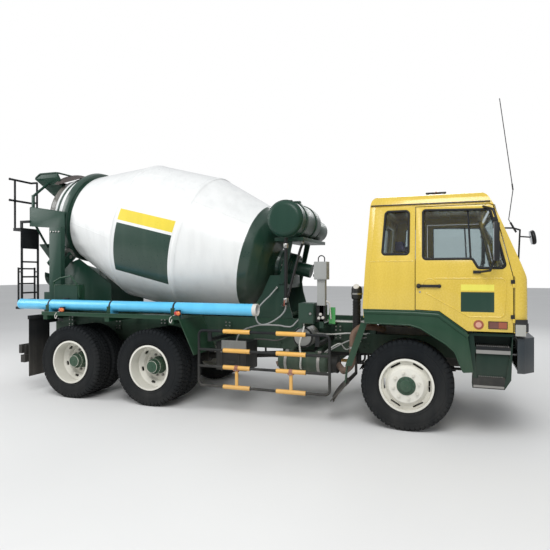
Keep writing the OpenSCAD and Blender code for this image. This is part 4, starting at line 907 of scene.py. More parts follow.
def makeWheels():
    tread = makeTyreMesh()
    hubs = {"front": frontHub(), "twin": twinHub()}
    for label, spot in wheelPlaces.items():
        for sideName, side in (("left", 1), ("right", -1)):
            body = f"wheel_{label}_{sideName}"
            stand = Matrix.Translation(place(spot["x"], side * spot["track"], axleHeight))
            stand = stand @ Matrix.Rotation(-math.pi / 2 * side, 4, "X")
            offsets = (spot["twin"] / 2, -spot["twin"] / 2) if spot["twin"] else (0.0,)
            shapes = []
            for number, offset in enumerate(offsets):
                twist = Matrix.Rotation(0.031 * (number + 1) * side, 4, "Z")
                matrix = stand @ Matrix.Translation((0, 0, offset)) @ twist
                shapes += [moved(mesh.copy(), matrix) for mesh in tread]
            tyre = makePiece(f"tread_{label}_{sideName}", body, "tyre_rubber", *shapes)
            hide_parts(f"tyre_{label}_{sideName}")
            hub = hubs["twin" if spot["twin"] else "front"]
            makePiece(f"hub_{label}_{sideName}", body, "green_paint",
                      *(moved(mesh.copy(), stand) for mesh in hub))


makeWheels()
print("wheels made")

# Cab

beltZ = 1.85
gutterZ = 2.52
halfWidth = 1.245
sideLean = (halfWidth - 1.170) / (gutterZ - beltZ)


def sideY(z):
    # Distance of the cab's side from the middle at a height
    return halfWidth - max(0.0, z - beltZ) * sideLean


def screenX(z):
    # Slope of the windscreen
    return 0.890 + (2.50 - z) * 0.40385


def backX(z):
    return -0.470 + (z - 1.37) * 0.06494


def isTrim(centre):
    return abs(centre.y) > sideY(centre.z) + 0.0015


def gutterRule(centre):
    return "trimBlack" if isTrim(centre) and centre.z < 2.536 else None


def doorRule(centre):
    return "trimBlack" if isTrim(centre) else None


def archRule(centre):
    x = centre.x - frontAxleX
    # Faces inside the step box get the darker green, painted shade of the recess; the arch's inner faces are
    # black
    if x > 0.63 and abs(centre.y) < 1.206:
        return "shadedStepGreen"
    return "chassisBlack" if abs(centre.y) < 1.184 else None


def onSide(outline, proud=0.0):
    return [place(x, sideY(z) + proud, z) for x, z in outline]


doorWindow = [(0.185, 1.920), (0.684, 1.920), (0.739, 1.822), (0.990, 1.822), (0.998, 1.857), (0.856, 2.440),
              (0.200, 2.457), (0.182, 2.440)]
quarterWindow = [(-0.251, 2.000), (-0.235, 1.976), (0.015, 1.976), (0.032, 2.000), (0.032, 2.430),
                 (0.010, 2.456), (-0.200, 2.456), (-0.222, 2.430)]
doorBead = [(0.30, 1.712), (1.010, 1.716), (0.990, 1.312), (0.655, 1.308), (0.215, 1.555)]
handle = {"x": (0.112, 0.366), "z": 1.630, "proud": 0.024}
doorMirror = {"x": 0.880, "y": (1.290, 1.450), "z": (1.890, 2.290)}


def lens(radius, depth, paint):
    dome = [(radius, 0.0), (radius * 0.98, depth * 0.35), (radius * 0.8, depth * 0.72),
            (radius * 0.45, depth * 0.94), (0.0, depth)]
    return revolve(dome, paint, 28, 60)


def doorTrim():
    # Seals, bead, handle, lamps and mirror glass of the left door
    seal = tube(onSide(doorWindow, -0.004), 0.014, "sealRubber", 0.035, 10, True)
    divider = rod([(0.640, sideY(2.44) - 0.028, 2.440), (0.668, sideY(1.90) - 0.028, 1.905)],
                  0.011, "sealRubber", 0, 8)
    bead = tube(onSide(doorBead, -0.0045), 0.0095, "cabYellow", 0.05, 12)
    recess = [(0.255 + 0.070 * math.cos(a), 1.640 + 0.070 * math.sin(a))
              for a in (math.pi * i / 10 for i in range(11))]
    dish = tube(onSide(recess, -0.0035), 0.0070, "cabYellow", 0, 8)
    out = Vector((0, 1, 0))
    x, z = handle["x"], handle["z"]
    knob = standing(lens(0.026, 0.022, "trimBlack"), (x[0] + 0.03, halfWidth + 0.014, z), out)
    base = standing(lens(0.02, 0.018, "trimBlack"), (x[1] - 0.012, halfWidth + 0.008, z), out)
    keyhole = standing(revolve([(0.011, 0), (0.011, 0.003), (0.007, 0.004), (0, 0.004)], "wornSteel", 20),
                       (0.153, halfWidth, 1.565), out)
    rearLamp = block((0.845, 0.935), (halfWidth - 0.002, halfWidth + 0.016), (1.198, 1.262), "lampBrown",
                     0.007)
    frontLamp = block((0.936, 1.014), (halfWidth - 0.002, halfWidth + 0.016), (1.198, 1.262), "clampRed",
                      0.007)
    bezel = block((0.838, 1.021), (halfWidth - 0.002, halfWidth + 0.006), (1.191, 1.269), "trimBlack", 0.003)
    discPlace = toward(place(0.745, halfWidth, 1.229), out)
    plain = moved(revolve([(0.05, 0), (0.05, 0.003), (0.044, 0.0045), (0, 0.0045)], "clampRed", 32),
                  discPlace)
    spot = moved(revolve([(0.030, 0.004), (0.029, 0.0062), (0, 0.0064)], "lampPink", 28), discPlace)
    panel = block((0.570, 0.895), (halfWidth - 0.002, halfWidth + 0.0012), (1.362, 1.570), "bodyGreen", 0)
    band = block((0.570, 0.895), (halfWidth - 0.002, halfWidth + 0.0012), (1.585, 1.650), "doorYellow", 0)
    m = doorMirror
    glass = block((m["x"] - 0.0035, m["x"] + 0.002), (m["y"][0] + 0.008, m["y"][1] - 0.008),
                  (m["z"][0] + 0.008, m["z"][1] - 0.008), "mirrorGlass", 0.001)
    shell = block((m["x"] + 0.028, m["x"] + 0.052), (m["y"][0] + 0.012, m["y"][1] - 0.012),
                  (m["z"][0] + 0.014, m["z"][1] - 0.014), "trimBlack", 0.012)
    clamp = block((0.868, 0.912), (1.335, 1.395), (2.30, 2.335), "trimBlack", 0.006)
    return [seal, divider, bead, dish, knob, base, keyhole, rearLamp, frontLamp, bezel, plain, spot, panel,
            band, glass, shell, clamp]


def makeDoors():
    left = doorTrim()
    for sideName, shapes in (("left", left), ("right", [mirrored(mesh) for mesh in left])):
        body = "door_" + sideName
        dressCopy(body, body, "yellow_paint", 0.004, rule=doorRule)
        makePiece("door_trim_" + sideName, body, "trim_plastic", *shapes)


makeDoors()

screen = {"y": 1.060, "z": (1.790, 2.440)}
# Pivot and reach of each wiper, heights, distances from the screen, and the blade's ends
wiper = {
    "places": ((-0.80, 0.62), (-0.05, 0.62), (0.62, 0.52)),
    "screenFoot": 1.735, "foot": 1.742, "tip": 1.86, "footOff": 0.012, "tipOff": 0.030,
    "bladeOff": 0.022, "blade": ((1.822, 0.30), (1.875, 1.18)),
}


def wiperShapes():
    # Wipers rest along the foot of the windscreen
    shapes = []
    for pivot, reach in wiper["places"]:
        foot = place(screenX(wiper["screenFoot"]) + wiper["footOff"], pivot, wiper["foot"])
        tip = place(screenX(wiper["tip"]) + wiper["tipOff"], pivot + reach, wiper["tip"])
        middle = foot.lerp(tip, 0.55) + Vector((0.012, 0, 0.014))
        shapes.append(tube([foot, middle, tip], 0.006, "trimBlack", 0.05, 8))
        ends = [place(screenX(z) + wiper["bladeOff"], pivot + reach * share, z)
                for z, share in wiper["blade"]]
        shapes.append(tube(ends, 0.0065, "sealRubber", 0, 6))
        knob = revolve([(0.02, -0.01), (0.02, 0.012), (0.012, 0.02), (0, 0.021)], "trimBlack", 20)
        shapes.append(moved(knob, toward(foot, (1, 0, 0.5))))
    return shapes


def roofShapes():
    # Glass of the round front mirror and of the roof lamps, and the horn on its foot
    shapes = []
    ring = revolve([(0.098, 0.0), (0.100, 0.004), (0.094, 0.006), (0, 0.006)], "mirrorGlass", 36)
    shapes.append(standing(ring, (1.5295, 1.150, 2.278), (-0.985, 0, -0.174)))
    for y in (-0.70, -0.56):
        shapes.append(standing(lens(0.0435, 0.05, "signalOrange"), (0.300, y, 2.676), (0, 0, 1)))
    horn = revolve([(0.006, 0.0), (0.009, 0.10), (0.016, 0.19), (0.030, 0.25), (0.045, 0.28), (0.040, 0.28),
                    (0.012, 0.19)], "wornSteel", 24)
    shapes.append(standing(horn, (0.150, -0.40, 2.685), (1, 0, 0)))
    shapes.append(block((0.17, 0.20), (-0.415, -0.385), (2.638, 2.68), "trimBlack", 0.004))
    return shapes


def makeCabTrim():
    quarter = tube(onSide(quarterWindow, -0.004), 0.014, "sealRubber", 0.03, 10, True)
    low, high = screen["z"]
    y = screen["y"]
    corners = ((-1, low), (1, low), (1, high), (-1, high))
    edge = [place(screenX(z) - 0.006, side * y, z) for side, z in corners]
    screenSeal = tube(edge, 0.017, "sealRubber", 0.08, 10, True)
    corners = ((-1, 1.90), (1, 1.90), (1, 2.38), (-1, 2.38))
    rear = [place(backX(z) + 0.004, side * 0.52, z) for side, z in corners]
    rearSeal = tube(rear, 0.015, "sealRubber", 0.06, 10, True)
    belt = tube(onSide([(-0.400, 1.900), (0.085, 1.900)], -0.0045), 0.0090, "cabYellow", 0, 8)
    pillar = rod([(1.087, sideY(1.20) - 0.002, 1.165), (1.087, sideY(1.72) - 0.002, 1.720),
                  (0.900, sideY(2.49) - 0.002, 2.490)], 0.0042, "sealRubber", 0.0, 8)
    shapes = [screenSeal, rearSeal, *bothSides(quarter, belt, pillar)]
    shapes += wiperShapes()
    # Corner lamps with a dark cap over a clear lens
    cap = block((1.092, 1.206), (1.150, 1.262), (1.243, 1.294), "trimBlack", 0.012)
    clear = block((1.094, 1.190), (1.150, 1.262), (1.127, 1.243), "lampPale", 0.014)
    orange = block((1.130, 1.196), (1.060, 1.149), (1.130, 1.240), "signalOrange", 0.012)
    shapes += bothSides(cap, clear, orange)
    shapes += roofShapes()
    makePiece("cab_trim", "cab", "trim_plastic", *shapes)


def makeCabPanels():
    for name in ("cab_side_left", "cab_side_right", "cab_floor", "cab_front"):
        dressCopy(name, "cab", "yellow_paint", 0.004)
    dressCopy("cab_roof", "cab", "yellow_paint", 0.006, rule=gutterRule)
    dressCopy("cab_fenders", "cab", "green_paint", 0.007, rule=archRule)


def makeSteps():
    # Ribbed treads on both steps, with a worn front edge
    shapes = []
    for x, z in (((0.722, 1.052), 0.990), ((0.742, 1.000), 0.670)):
        shapes.append(block(x, (1.010, 1.212), (z + 0.001, z + 0.012), "chassisBlack", 0.002))
        shapes.append(block(x, (1.204, 1.216), (z - 0.045, z + 0.008), "chassisBlack", 0.002))
        rib = block((x[0] + 0.006, x[0] + 0.014), (1.016, 1.206), (z + 0.010, z + 0.020), "wornSteel", 0.0)
        count = int((x[1] - x[0]) / 0.02)
        shapes.append(repeated(rib, count, "wornSteel", step=(0.02, 0, 0)))
    shapes.append(block((0.722, 1.052), (1.200, 1.218), (0.926, 0.964), "wornSteel", 0.003))
    shapes.append(block((0.692, 0.996), (1.196, 1.212), (0.562, 0.664), "chassisBlack", 0.004))
    shapes.append(block((0.696, 0.992), (1.209, 1.2175), (0.570, 0.592), "wornSteel", 0.002))
    # Closed panel between the steps, painted a darker green as the shade of the step pocket, strip behind
    # the arch, and seal along the door's lower edge
    shapes.append(sidePlate([(0.712, 0.640), (1.008, 0.640), (1.048, 0.930), (0.724, 0.930)], (1.176, 1.188),
                            "shadedStepGreen"))
    shapes.append(sidePlate([(-0.425, 1.205), (-0.500, 1.205), (-0.680, 0.700), (-0.605, 0.700)],
                            (1.172, 1.184), "fenderGreen"))
    # Dark rubber seal along the door's lower edge, which also stands in for the shaded gap between the door
    # and the flare
    edge = [place(x, 1.226, z) for x, z in ((0.02, 1.374), (0.325, 1.372), (0.640, 1.160), (0.690, 1.158))]
    shapes.append(tube(edge, 0.013, "sealRubber", 0.05, 10))
    # Flare, rolled edge and lip of the arch
    flare = [(0.640, 1.100), (0.343, 1.318), (0.095, 1.330), (-0.452, 1.332)]
    shapes.append(tube([place(x, 1.232, z) for x, z in flare], 0.026, "fenderGreen", 0.06, 16))
    roll = [(0.690, 0.730), (0.628, 1.146), (0.356, 1.350), (0.100, 1.360), (-0.455, 1.360)]
    shapes.append(tube([place(x, 1.2425, z) for x, z in roll], 0.007, "fenderGreen", 0.06, 8))
    lip = [(0.597, 0.722), (0.565, 0.794), (0.512, 0.928), (0.425, 1.005), (0.159, 1.168), (0.044, 1.199),
           (-0.440, 1.207)]
    shapes.append(tube([place(x, 1.240, z + 0.004) for x, z in lip], 0.010, "fenderGreen", 0.06, 10))
    makePiece("cab_steps", "cab", "green_paint", *bothSides(*shapes))


def makeBumper():
    dressCopy("front_bumper", "chassis", "black_paint", 0.028)
    shapes = []
    for y in (0.80, 0.96):
        bezel = [(0.058, 0.0), (0.058, 0.010), (0.050, 0.012), (0.047, 0.006)]
        spot = toward(place(1.284, y, 0.945), (1, 0, 0))
        shapes.append(moved(revolve(bezel, "wornSteel", 36), spot))
        shapes.append(moved(lens(0.048, 0.016, "lampPale"), spot @ Matrix.Translation((0, 0, -0.002))))
    plate = block((1.283, 1.291), (-0.24, 0.24), (0.955, 1.045), "paleGrey", 0.003)
    makePiece("headlamps", "chassis", "grey_metal", plate, *bothSides(*shapes))


def cushion(x, y, z, crown, channels, paint, along="x"):
    # Crowned closed cushion whose sides pull in between its corners, with sewn channels across its top
    bm = bmesh.new()
    bmesh.ops.create_cube(bm, size=2.0)
    bmesh.ops.subdivide_edges(bm, edges=bm.edges, cuts=15, use_grid_fill=True)
    size = Vector(((x[1] - x[0]) / 2, (y[1] - y[0]) / 2, (z[1] - z[0]) / 2))
    centre = place((x[0] + x[1]) / 2, (y[0] + y[1]) / 2, (z[0] + z[1]) / 2)
    deep = 2 if along == "x" else 0
    for vert in bm.verts:
        p = vert.co.copy()
        rim = 1 - min(1.0, (abs(p.x) ** 8 + abs(p.y) ** 8 + abs(p.z) ** 8) / 3)
        q = Vector([c * (0.86 + 0.14 * rim) for c in p])
        bulge = [(1 - abs(p.y) ** 3) * (1 - abs(p.z) ** 3), (1 - abs(p.x) ** 3) * (1 - abs(p.z) ** 3),
                 (1 - abs(p.x) ** 3) * (1 - abs(p.y) ** 3)]
        for i in range(3):
            if abs(p[i]) > 0.999:
                q[i] += math.copysign(crown[i] * bulge[i] / size[i] * 0.5, p[i])
        run = p.x if along == "x" else p.z
        face = p.z if along == "x" else p.x
        if face > 0.99 and abs(p.y) < 0.72:
            groove = abs(math.sin((p.y * 0.5 + 0.5) * math.pi * channels))
            q[deep] -= 0.012 / size[deep] * (1 - groove) ** 3 * (abs(run) < 0.9)
        vert.co = Vector((q.x * size.x, q.y * size.y, q.z * size.z)) + centre
    bmesh.ops.subdivide_edges(bm, edges=bm.edges, cuts=1, use_grid_fill=True, smooth=0.6)
    return fromBm(bm, paint, 70)


def makeSeats():
    for sideName, side in (("left", 1), ("right", -1)):
        y = (0.335, 0.865) if side > 0 else (-0.865, -0.335)
        base = cushion((-0.055, 0.436), y, (1.40, 1.556), (0.01, 0.01, 0.02), 6, "seatCloth")
        back = cushion((-0.178, -0.062), y, (1.50, 2.02), (0.02, 0.01, 0.01), 6, "seatCloth", "z")
        head = cushion((-0.168, -0.075), (y[0] + 0.12, y[1] - 0.12), (2.03, 2.148), (0.02, 0.01, 0.01), 1,
                       "seatCloth", "z")
        seat = makePiece("seat_cushions_" + sideName, "cab", "cloth", base, back, head)
        stand = block((-0.02, 0.40), (y[0] + 0.04, y[1] - 0.04), (1.267, 1.40), "trimBlack", 0.01)
        rest = block((-0.176, -0.10), (y[0] + 0.05, y[1] - 0.05), (1.267, 1.50), "trimBlack", 0.01)
        makePiece("seat_frame_" + sideName, "cab", "trim_plastic", stand, rest)
        if sideName == "left":
            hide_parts("seats")


makeCabPanels()
makeCabTrim()
makeSteps()
makeBumper()
makeSeats()
print("cab made")

# Drum and its drive


def drumPoint(s, radius, angle):
    # Distance forward of the ring, radius, and angle round the axis from its top
    up = Vector((math.sin(drumAngle), 0.0, math.cos(drumAngle)))
    aside = Vector((0, radius * math.sin(angle), 0))
    return drumOrigin + drumAxis * s + up * (radius * math.cos(angle)) + aside


drumMatrix = Matrix.Translation(drumOrigin) @ Matrix.Rotation(drumAngle, 4, "Y")
drumMatrix = drumMatrix @ Matrix.Rotation(math.pi / 2, 4, "Y")
drumShape = {
    "outside": [(-0.520, 0.530), (-0.365, 0.560), (-0.365, 0.604), (-0.110, 0.662), (-0.110, 0.738),
                (0.0, 0.738), (0.0, 0.690), (0.060, 0.702), (1.092, 1.052), (2.133, 1.040),
                (2.984, 0.780), (3.110, 0.715), (3.210, 0.590), (3.280, 0.420), (3.310, 0.220),
                (3.360, 0.220)],
    "inside": [(3.270, 0.0), (3.290, 0.220), (3.262, 0.410), (3.196, 0.575), (3.100, 0.700),
               (2.980, 0.770), (2.133, 1.030), (1.092, 1.042), (0.060, 0.692), (-0.110, 0.652),
               (-0.340, 0.596), (-0.350, 0.550), (-0.520, 0.520)],
    "seams": (1.092, 2.133, 2.984),
    "welds": (((0.07, 1.07), (0.35, 2.45, 4.55)), ((1.12, 2.11), (-0.62, 1.47, 3.57)),
              ((2.15, 2.97), (-0.95, 1.15, 3.24))),
}
blade = {
    "turns": 1.35, "steps": 150, "start": -0.30, "length": 3.30, "gap": 0.012, "half": 0.004,
    "depth": 0.40, "depthAtMouth": 0.45, "growOver": 60, "leastRadius": 0.22,
}


def outsideRadius(s):
    for (s0, r0), (s1, r1) in zip(drumShape["outside"], drumShape["outside"][1:]):
        if s0 <= s <= s1 and s1 > s0:
            return r0 + (r1 - r0) * (s - s0) / (s1 - s0)
    return 0.22


def softened(profile, reach):
    # Profile with each corner cut into three points, so that the plates meet in a soft bend
    out = [profile[0]]
    for before, corner, after in zip(profile, profile[1:], profile[2:]):
        c = Vector(corner)
        a, b = Vector(before) - c, Vector(after) - c
        cut = min(reach, a.length * 0.3, b.length * 0.3)
        a, b = c + a.normalized() * cut, c + b.normalized() * cut
        out += [tuple(a), tuple((a + b) * 0.25 + c * 0.5), tuple(b)]
    return out + [profile[-1]]


def drumSeams():
    # Lap at each seam round the drum, and the weld lines along its plates
    shapes = []
    for s in drumShape["seams"]:
        r = outsideRadius(s)
        lap = [(r - 0.004, s - 0.034), (r + 0.0045, s - 0.024), (r + 0.0060, s), (r + 0.0045, s + 0.024),
               (r - 0.004, s + 0.034), (r - 0.010, s)]
        lap = [(min(p, outsideRadius(q) + 0.0052) if p > r - 0.005 else p, q) for p, q in lap]
        shapes.append(moved(revolve(lap + lap[:1], "drumWhite", 144, 40), drumMatrix))
    for (s0, s1), angles in drumShape["welds"]:
        for angle in angles:
            ends = [drumPoint(s, outsideRadius(s) - 0.0005, angle) for s in (s0, s1)]
            shapes.append(tube(ends, 0.0042, "drumWhite", 0, 6))
    return shapes


def bladeDepth(i):
    # The blades deepen from the mouth on
    return blade["depth"] * min(1.0, blade["depthAtMouth"] + i / blade["growOver"])


def drumBlades():
    # Two blades wind forward inside the drum
    bm = bmesh.new()
    for start in (0.0, math.pi):
        last = None
        for i in range(blade["steps"] + 1):
            s = blade["start"] + blade["length"] * i / blade["steps"]
            angle = start + blade["turns"] * 2 * math.pi * i / blade["steps"]
            outer = outsideRadius(s) - blade["gap"]
            inner = max(blade["leastRadius"], outer - bladeDepth(i))
            row = [bm.verts.new(drumPoint(s + shift, r, angle))
                   for shift in (-blade["half"], blade["half"]) for r in (outer, inner)]
            if last:
                for a, b in ((0, 1), (1, 3), (3, 2), (2, 0)):
                    bm.faces.new((last[a], last[b], row[b], row[a]))
            else:
                bm.faces.new((row[0], row[1], row[3], row[2]))
            last = row
        bm.faces.new((last[2], last[3], last[1], last[0]))
    return fromBm(bm, "castGrey", 50)


def makeDrum():
    outside = softened(drumShape["outside"], 0.018)
    wall = [(0.0, 3.360)] + [(r, s) for s, r in reversed(outside)]
    wall += [(r, s) for s, r in reversed(drumShape["inside"])]
    shell = moved(revolve(wall, "drumWhite", 144, 24), drumMatrix)
    shapes = [shell, *drumSeams()]
    edge = [(0.532, -0.518), (0.530, -0.530), (0.520, -0.534), (0.510, -0.530), (0.508, -0.518),
            (0.514, -0.508), (0.526, -0.508), (0.532, -0.518)]
    shapes.append(moved(revolve(edge, "drumWhite", 120, 70), drumMatrix))
    shapes.append(drumBlades())
    skin = makePiece("drum_shell", "drum", "white_paint", *shapes)
    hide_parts("drum")


apron = {
    "spread": math.radians(48), "rows": 14, "columns": 28, "thick": 0.005, "rear": -0.625,
    "front": -0.135, "sweep": 0.33, "curve": 1.4, "clear": 0.022,
}


def makeApron():
    # Curved rubber apron from the hopper over the drum's mouth
    spread = apron["spread"]

    def spot(j, i, layer):
        angle = -spread + 2 * spread * j / apron["columns"]
        front = apron["front"] - apron["sweep"] * (abs(angle) / spread) ** apron["curve"]
        s = apron["rear"] + (front - apron["rear"]) * i / apron["rows"]
        shell, least = (outsideRadius(s), 0.612) if s > -0.52 else (0.53, 0.575)
        return drumPoint(s, max(shell, least) + apron["clear"] + layer, angle)

    sheetMesh = closedSheet(apron["columns"], apron["rows"], spot, (0.0, apron["thick"]), "apronBrown", 50)
    makePiece("mouth_apron", "chassis", "rubber_sheet", sheetMesh)


def hexBolt(radius, height, paint):
    head = [(0.0, height), (radius * 0.8, height), (radius, height * 0.8), (radius, 0.0), (0.0, 0.0)]
    return revolve(head, paint, 6, 20)


def boltRow(spot, direction, count, step, radius, height, paint="wornSteel"):
    bolt = standing(hexBolt(radius, height, paint), spot, direction)
    return repeated(bolt, count, paint, step=step)


def boltCircle(radius, count, size, paint):
    bolt = moved(hexBolt(size, size * 0.8, paint), Matrix.Translation((radius, 0, 0)))
    return repeated(bolt, count, paint, turn=2 * math.pi / count)


def makeDrive():
    dressCopy("drum_drive", "chassis", "dark_green_paint", 0.006)
    shapes = []
    for s, radius, count in ((3.5795, 0.155, 10), (3.400, 0.198, 16)):
        spot = drumMatrix @ Matrix.Translation((0, 0, s))
        shapes.append(moved(boltCircle(radius, count, 0.014, "wornSteel"), spot))
    rib = [(0.183, 3.44), (0.192, 3.44), (0.192, 3.455), (0.183, 3.455), (0.175, 3.4475), (0.183, 3.44)]
    for shift in (0.0, 0.03, 0.06, 0.09):
        shapes.append(moved(revolve([(r, z + shift) for r, z in rib], "bodyGreen", 64), drumMatrix))
    pump = [(0.0, 3.640), (0.06, 3.640), (0.075, 3.652), (0.075, 3.70), (0.055, 3.712), (0.0, 3.712)]
    shapes.append(moved(revolve(pump, "castGrey", 40), drumMatrix))
    makePiece("drive_fittings", "chassis", "grey_metal", *shapes)


makeDrum()
makeApron()
makeDrive()
print("drum made")

# Hopper, funnel, platform and rear end

hopperEdge = [(-6.045, 0.430, 3.326), (-5.930, 0.430, 3.401), (-5.580, 0.430, 3.401),
              (-5.580, -0.430, 3.401), (-5.930, -0.430, 3.401), (-6.045, -0.430, 3.326)]
funnelEdge = [(-6.000, 0.380, 2.241), (-5.690, 0.380, 2.241), (-5.690, -0.380, 2.241),
              (-6.000, -0.380, 2.241)]


def makeHopper():
    for name in ("hopper", "discharge_funnel", "rear_pedestal", "front_pedestal"):
        dressCopy(name, "chassis", "dark_green_paint", 0.003)
    shapes = [rod(hopperEdge, 0.014, "bodyGreen", 0.05, 10, True),
              rod(funnelEdge, 0.010, "bodyGreen", 0.03, 10, True)]
    # Ribs round the hopper's sloping sides
    for z, y, x in ((3.10, 0.292, (-5.835, -5.544)), (3.22, 0.367, (-5.937, -5.562))):
        loop = [(x[0], -y, z), (x[0], y, z), (x[1], y, z), (x[1], -y, z)]
        shapes.append(rod(loop, 0.009, "bodyGreen", 0.02, 8, True))
    # Strip and rows of bolts on the pedestal's posts, and a bent rod beside the hopper
    flange = block((-5.345, -5.095), (0.853, 0.861), (1.14, 1.16), "bodyGreen", 0.002)
    rows = [boltRow((-5.300, 0.855, z), (0, 1, 0), 4, (0.052, 0, 0), 0.014, 0.012) for z in (1.22, 2.40)]
    rim = rod([(-5.790, 0.771, 2.505), (-5.790, 0.771, 2.808), (-5.112, 0.771, 2.700)], 0.008,
              "bodyGreen", 0.02, 8)
    shapes += bothSides(flange, *rows, rim)
    makePiece("hopper_edges", "chassis", "dark_green_paint", *shapes)


def makePlatform():
    dressCopy("platform", "chassis", "black_paint", 0.002)
    bar = block((-6.094, -6.089), (-0.804, -0.456), (2.468, 2.484), "chassisBlack", 0.0)
    cross = block((-6.096, -5.944), (-0.803, -0.799), (2.470, 2.482), "chassisBlack", 0.0)
    frameBars = [block((-6.100, -5.940), (y, y + 0.008), (2.468, 2.486), "chassisBlack", 0.001)
                 for y in (-0.810, -0.458)]
    frameBars += [block((x, x + 0.008), (-0.810, -0.450), (2.468, 2.486), "chassisBlack", 0.001)
                  for x in (-6.100, -5.948)]
    grate = [repeated(bar, 8, "chassisBlack", step=(0.021, 0, 0)),
             repeated(cross, 9, "chassisBlack", step=(0, 0.0425, 0))]
    profile = [(0.0, -0.012), (0.016, -0.010), (0.021, 0.0), (0.016, 0.010), (0.0, 0.012)]
    knobs = [standing(revolve(profile, "chassisBlack", 16, 70), (-6.082, -0.890, z), (0, 1, 0))
             for z in (3.250, 2.920)]
    makePiece("platform_grate", "chassis", "black_paint", *grate, *frameBars, *knobs)


def makeRearEnd():
    dressCopy("rear_bumper", "chassis", "black_paint", 0.005)
    shapes = []
    for y, label in (((0.770, 0.870), "signalRed"), ((0.874, 0.972), "signalOrange"),
                     ((0.976, 1.070), "lampPale")):
        shapes.append(block((-5.706, -5.688), y, (0.572, 0.678), label, 0.008))
    shapes.append(block((-5.698, -5.688), (0.762, 1.078), (0.562, 0.688), "trimBlack", 0.003))
    shapes.append(block((-5.650, -5.640), (0.42, 0.62), (0.455, 0.515), "signalRed", 0.004))
    makePiece("rear_lamps", "chassis", "black_paint", *bothSides(*shapes))
    for name in ("chute_bracket", "chute", "chute_extension"):
        dressCopy(name, name, "dark_green_paint", 0.002)
    dressCopy("ladder_lower", "ladder_lower", "black_paint", 0.001)


makeHopper()
makePlatform()
print("rear made")

# Middle of the truck: guards, tanks, battery, control box and pipe work

guardBars = {"z": (1.040, 0.800, 0.590, 0.345), "sleeves": ((-2.226, -1.859), (-1.521, -1.144)), "y": 1.195}


def sleeve(x0, x1, y, z):
    profile = [(0.0175, x0 + 0.004), (0.0235, x0), (0.0272, x0 + 0.004), (0.0272, x1 - 0.004), (0.0235, x1),
               (0.0175, x1 - 0.004), (0.0175, x0 + 0.004)]
    return moved(revolve(profile, "guardYellow", 28, 50), lying(0, y, z))


def makeGuards():
    shapes = []
    y = guardBars["y"]
    for x0, x1 in guardBars["sleeves"]:
        for z in guardBars["z"]:
            shapes.append(sleeve(x0, x1, y, z))
        middle = (x0 + x1) / 2
        low, high = guardBars["z"][3], guardBars["z"][2]
        shapes.append(rod([(middle, y, low), (middle, y, high)], 0.0212, "guardYellow", 0, 20))
        shapes.append(block((middle - 0.034, middle + 0.034), (y - 0.031, y + 0.031),
                            (high - 0.036, high - 0.014), "clampRed", 0.004))
        clamp = [(0.0285, middle - 0.022), (0.0315, middle - 0.022), (0.0315, middle + 0.022),
                 (0.0285, middle + 0.022), (0.0270, middle), (0.0285, middle - 0.022)]
        spot = lying(0, y, high)
        shapes.append(moved(revolve(clamp, "clampRed", 24, 50), spot))
        bolt = standing(hexBolt(0.009, 0.01, "wornSteel"), (middle, y + 0.030, high - 0.025), (0, 1, 0))
        shapes.append(bolt)
    makePiece("guard_sleeves", "chassis", "yellow_paint", *bothSides(*shapes))
    dressCopy("side_guards", "chassis", "black_paint", 0.002)


def makeBattery():
    dressCopy("battery_box", "chassis", "black_paint", 0.008)
    shapes = []
    # Ribbed pale cover on the outer side of the box
    x, y, z = (-2.360, -2.018), (-0.972, -0.945), (0.765, 0.893)
    shapes.append(block(x, y, z, "ventGrey", 0.006))
    rib = block((x[0] + 0.010, x[0] + 0.020), (y[0] - 0.006, y[0] + 0.002), (z[0] + 0.006, z[1] - 0.006),
                "ventGrey", 0.002)
    shapes.append(repeated(rib, 16, "ventGrey", step=(0.0207, 0, 0)))
    for px in (-2.36, -2.12):
        shapes.append(rod([(px, -0.966, 0.74), (px, -0.970, 0.50), (px, -0.955, 0.496)], 0.005,
                          "trimBlack", 0.01, 8))
        shapes.append(block((px - 0.012, px + 0.012), (-0.978, -0.952), (0.735, 0.775), "wornSteel", 0.003))
    handle = rod([(-2.27, -0.960, 0.62), (-2.27, -0.985, 0.62), (-2.17, -0.985, 0.62),
                  (-2.17, -0.960, 0.62)], 0.006, "trimBlack", 0.015, 8)
    shapes.append(handle)
    # Air cleaner: ribbed pale drum with a rounded end cap and a clamp
    spot = toward(place(-1.300, -0.512, 0.960), (0, -1, 0))
    outline = [(0.0, -0.006), (0.120, -0.006), (0.134, 0.004), (0.1345, 0.05), (0.130, 0.055),
               (0.1345, 0.06), (0.1345, 0.12), (0.130, 0.125), (0.1345, 0.13), (0.1345, 0.19),
               (0.139, 0.195), (0.139, 0.215), (0.1345, 0.22), (0.1345, 0.28), (0.126, 0.30), (0.095, 0.316),
               (0.05, 0.322), (0.0, 0.323)]
    shapes.append(moved(revolve(outline, "ventGrey", 56, 30), spot))
    bolt = standing(hexBolt(0.012, 0.014, "wornSteel"), (-1.300, -0.836, 0.960), (0, -1, 0))
    shapes.append(bolt)
    makePiece("battery_cover", "chassis", "grey_metal", *shapes)


def bandRound(spot, radius, width, paint):
    profile = [(radius, -width / 2), (radius + 0.006, -width / 2), (radius + 0.006, width / 2),
               (radius, width / 2), (radius - 0.002, 0.0), (radius, -width / 2)]
    return moved(revolve(profile, paint, 64, 40), spot)


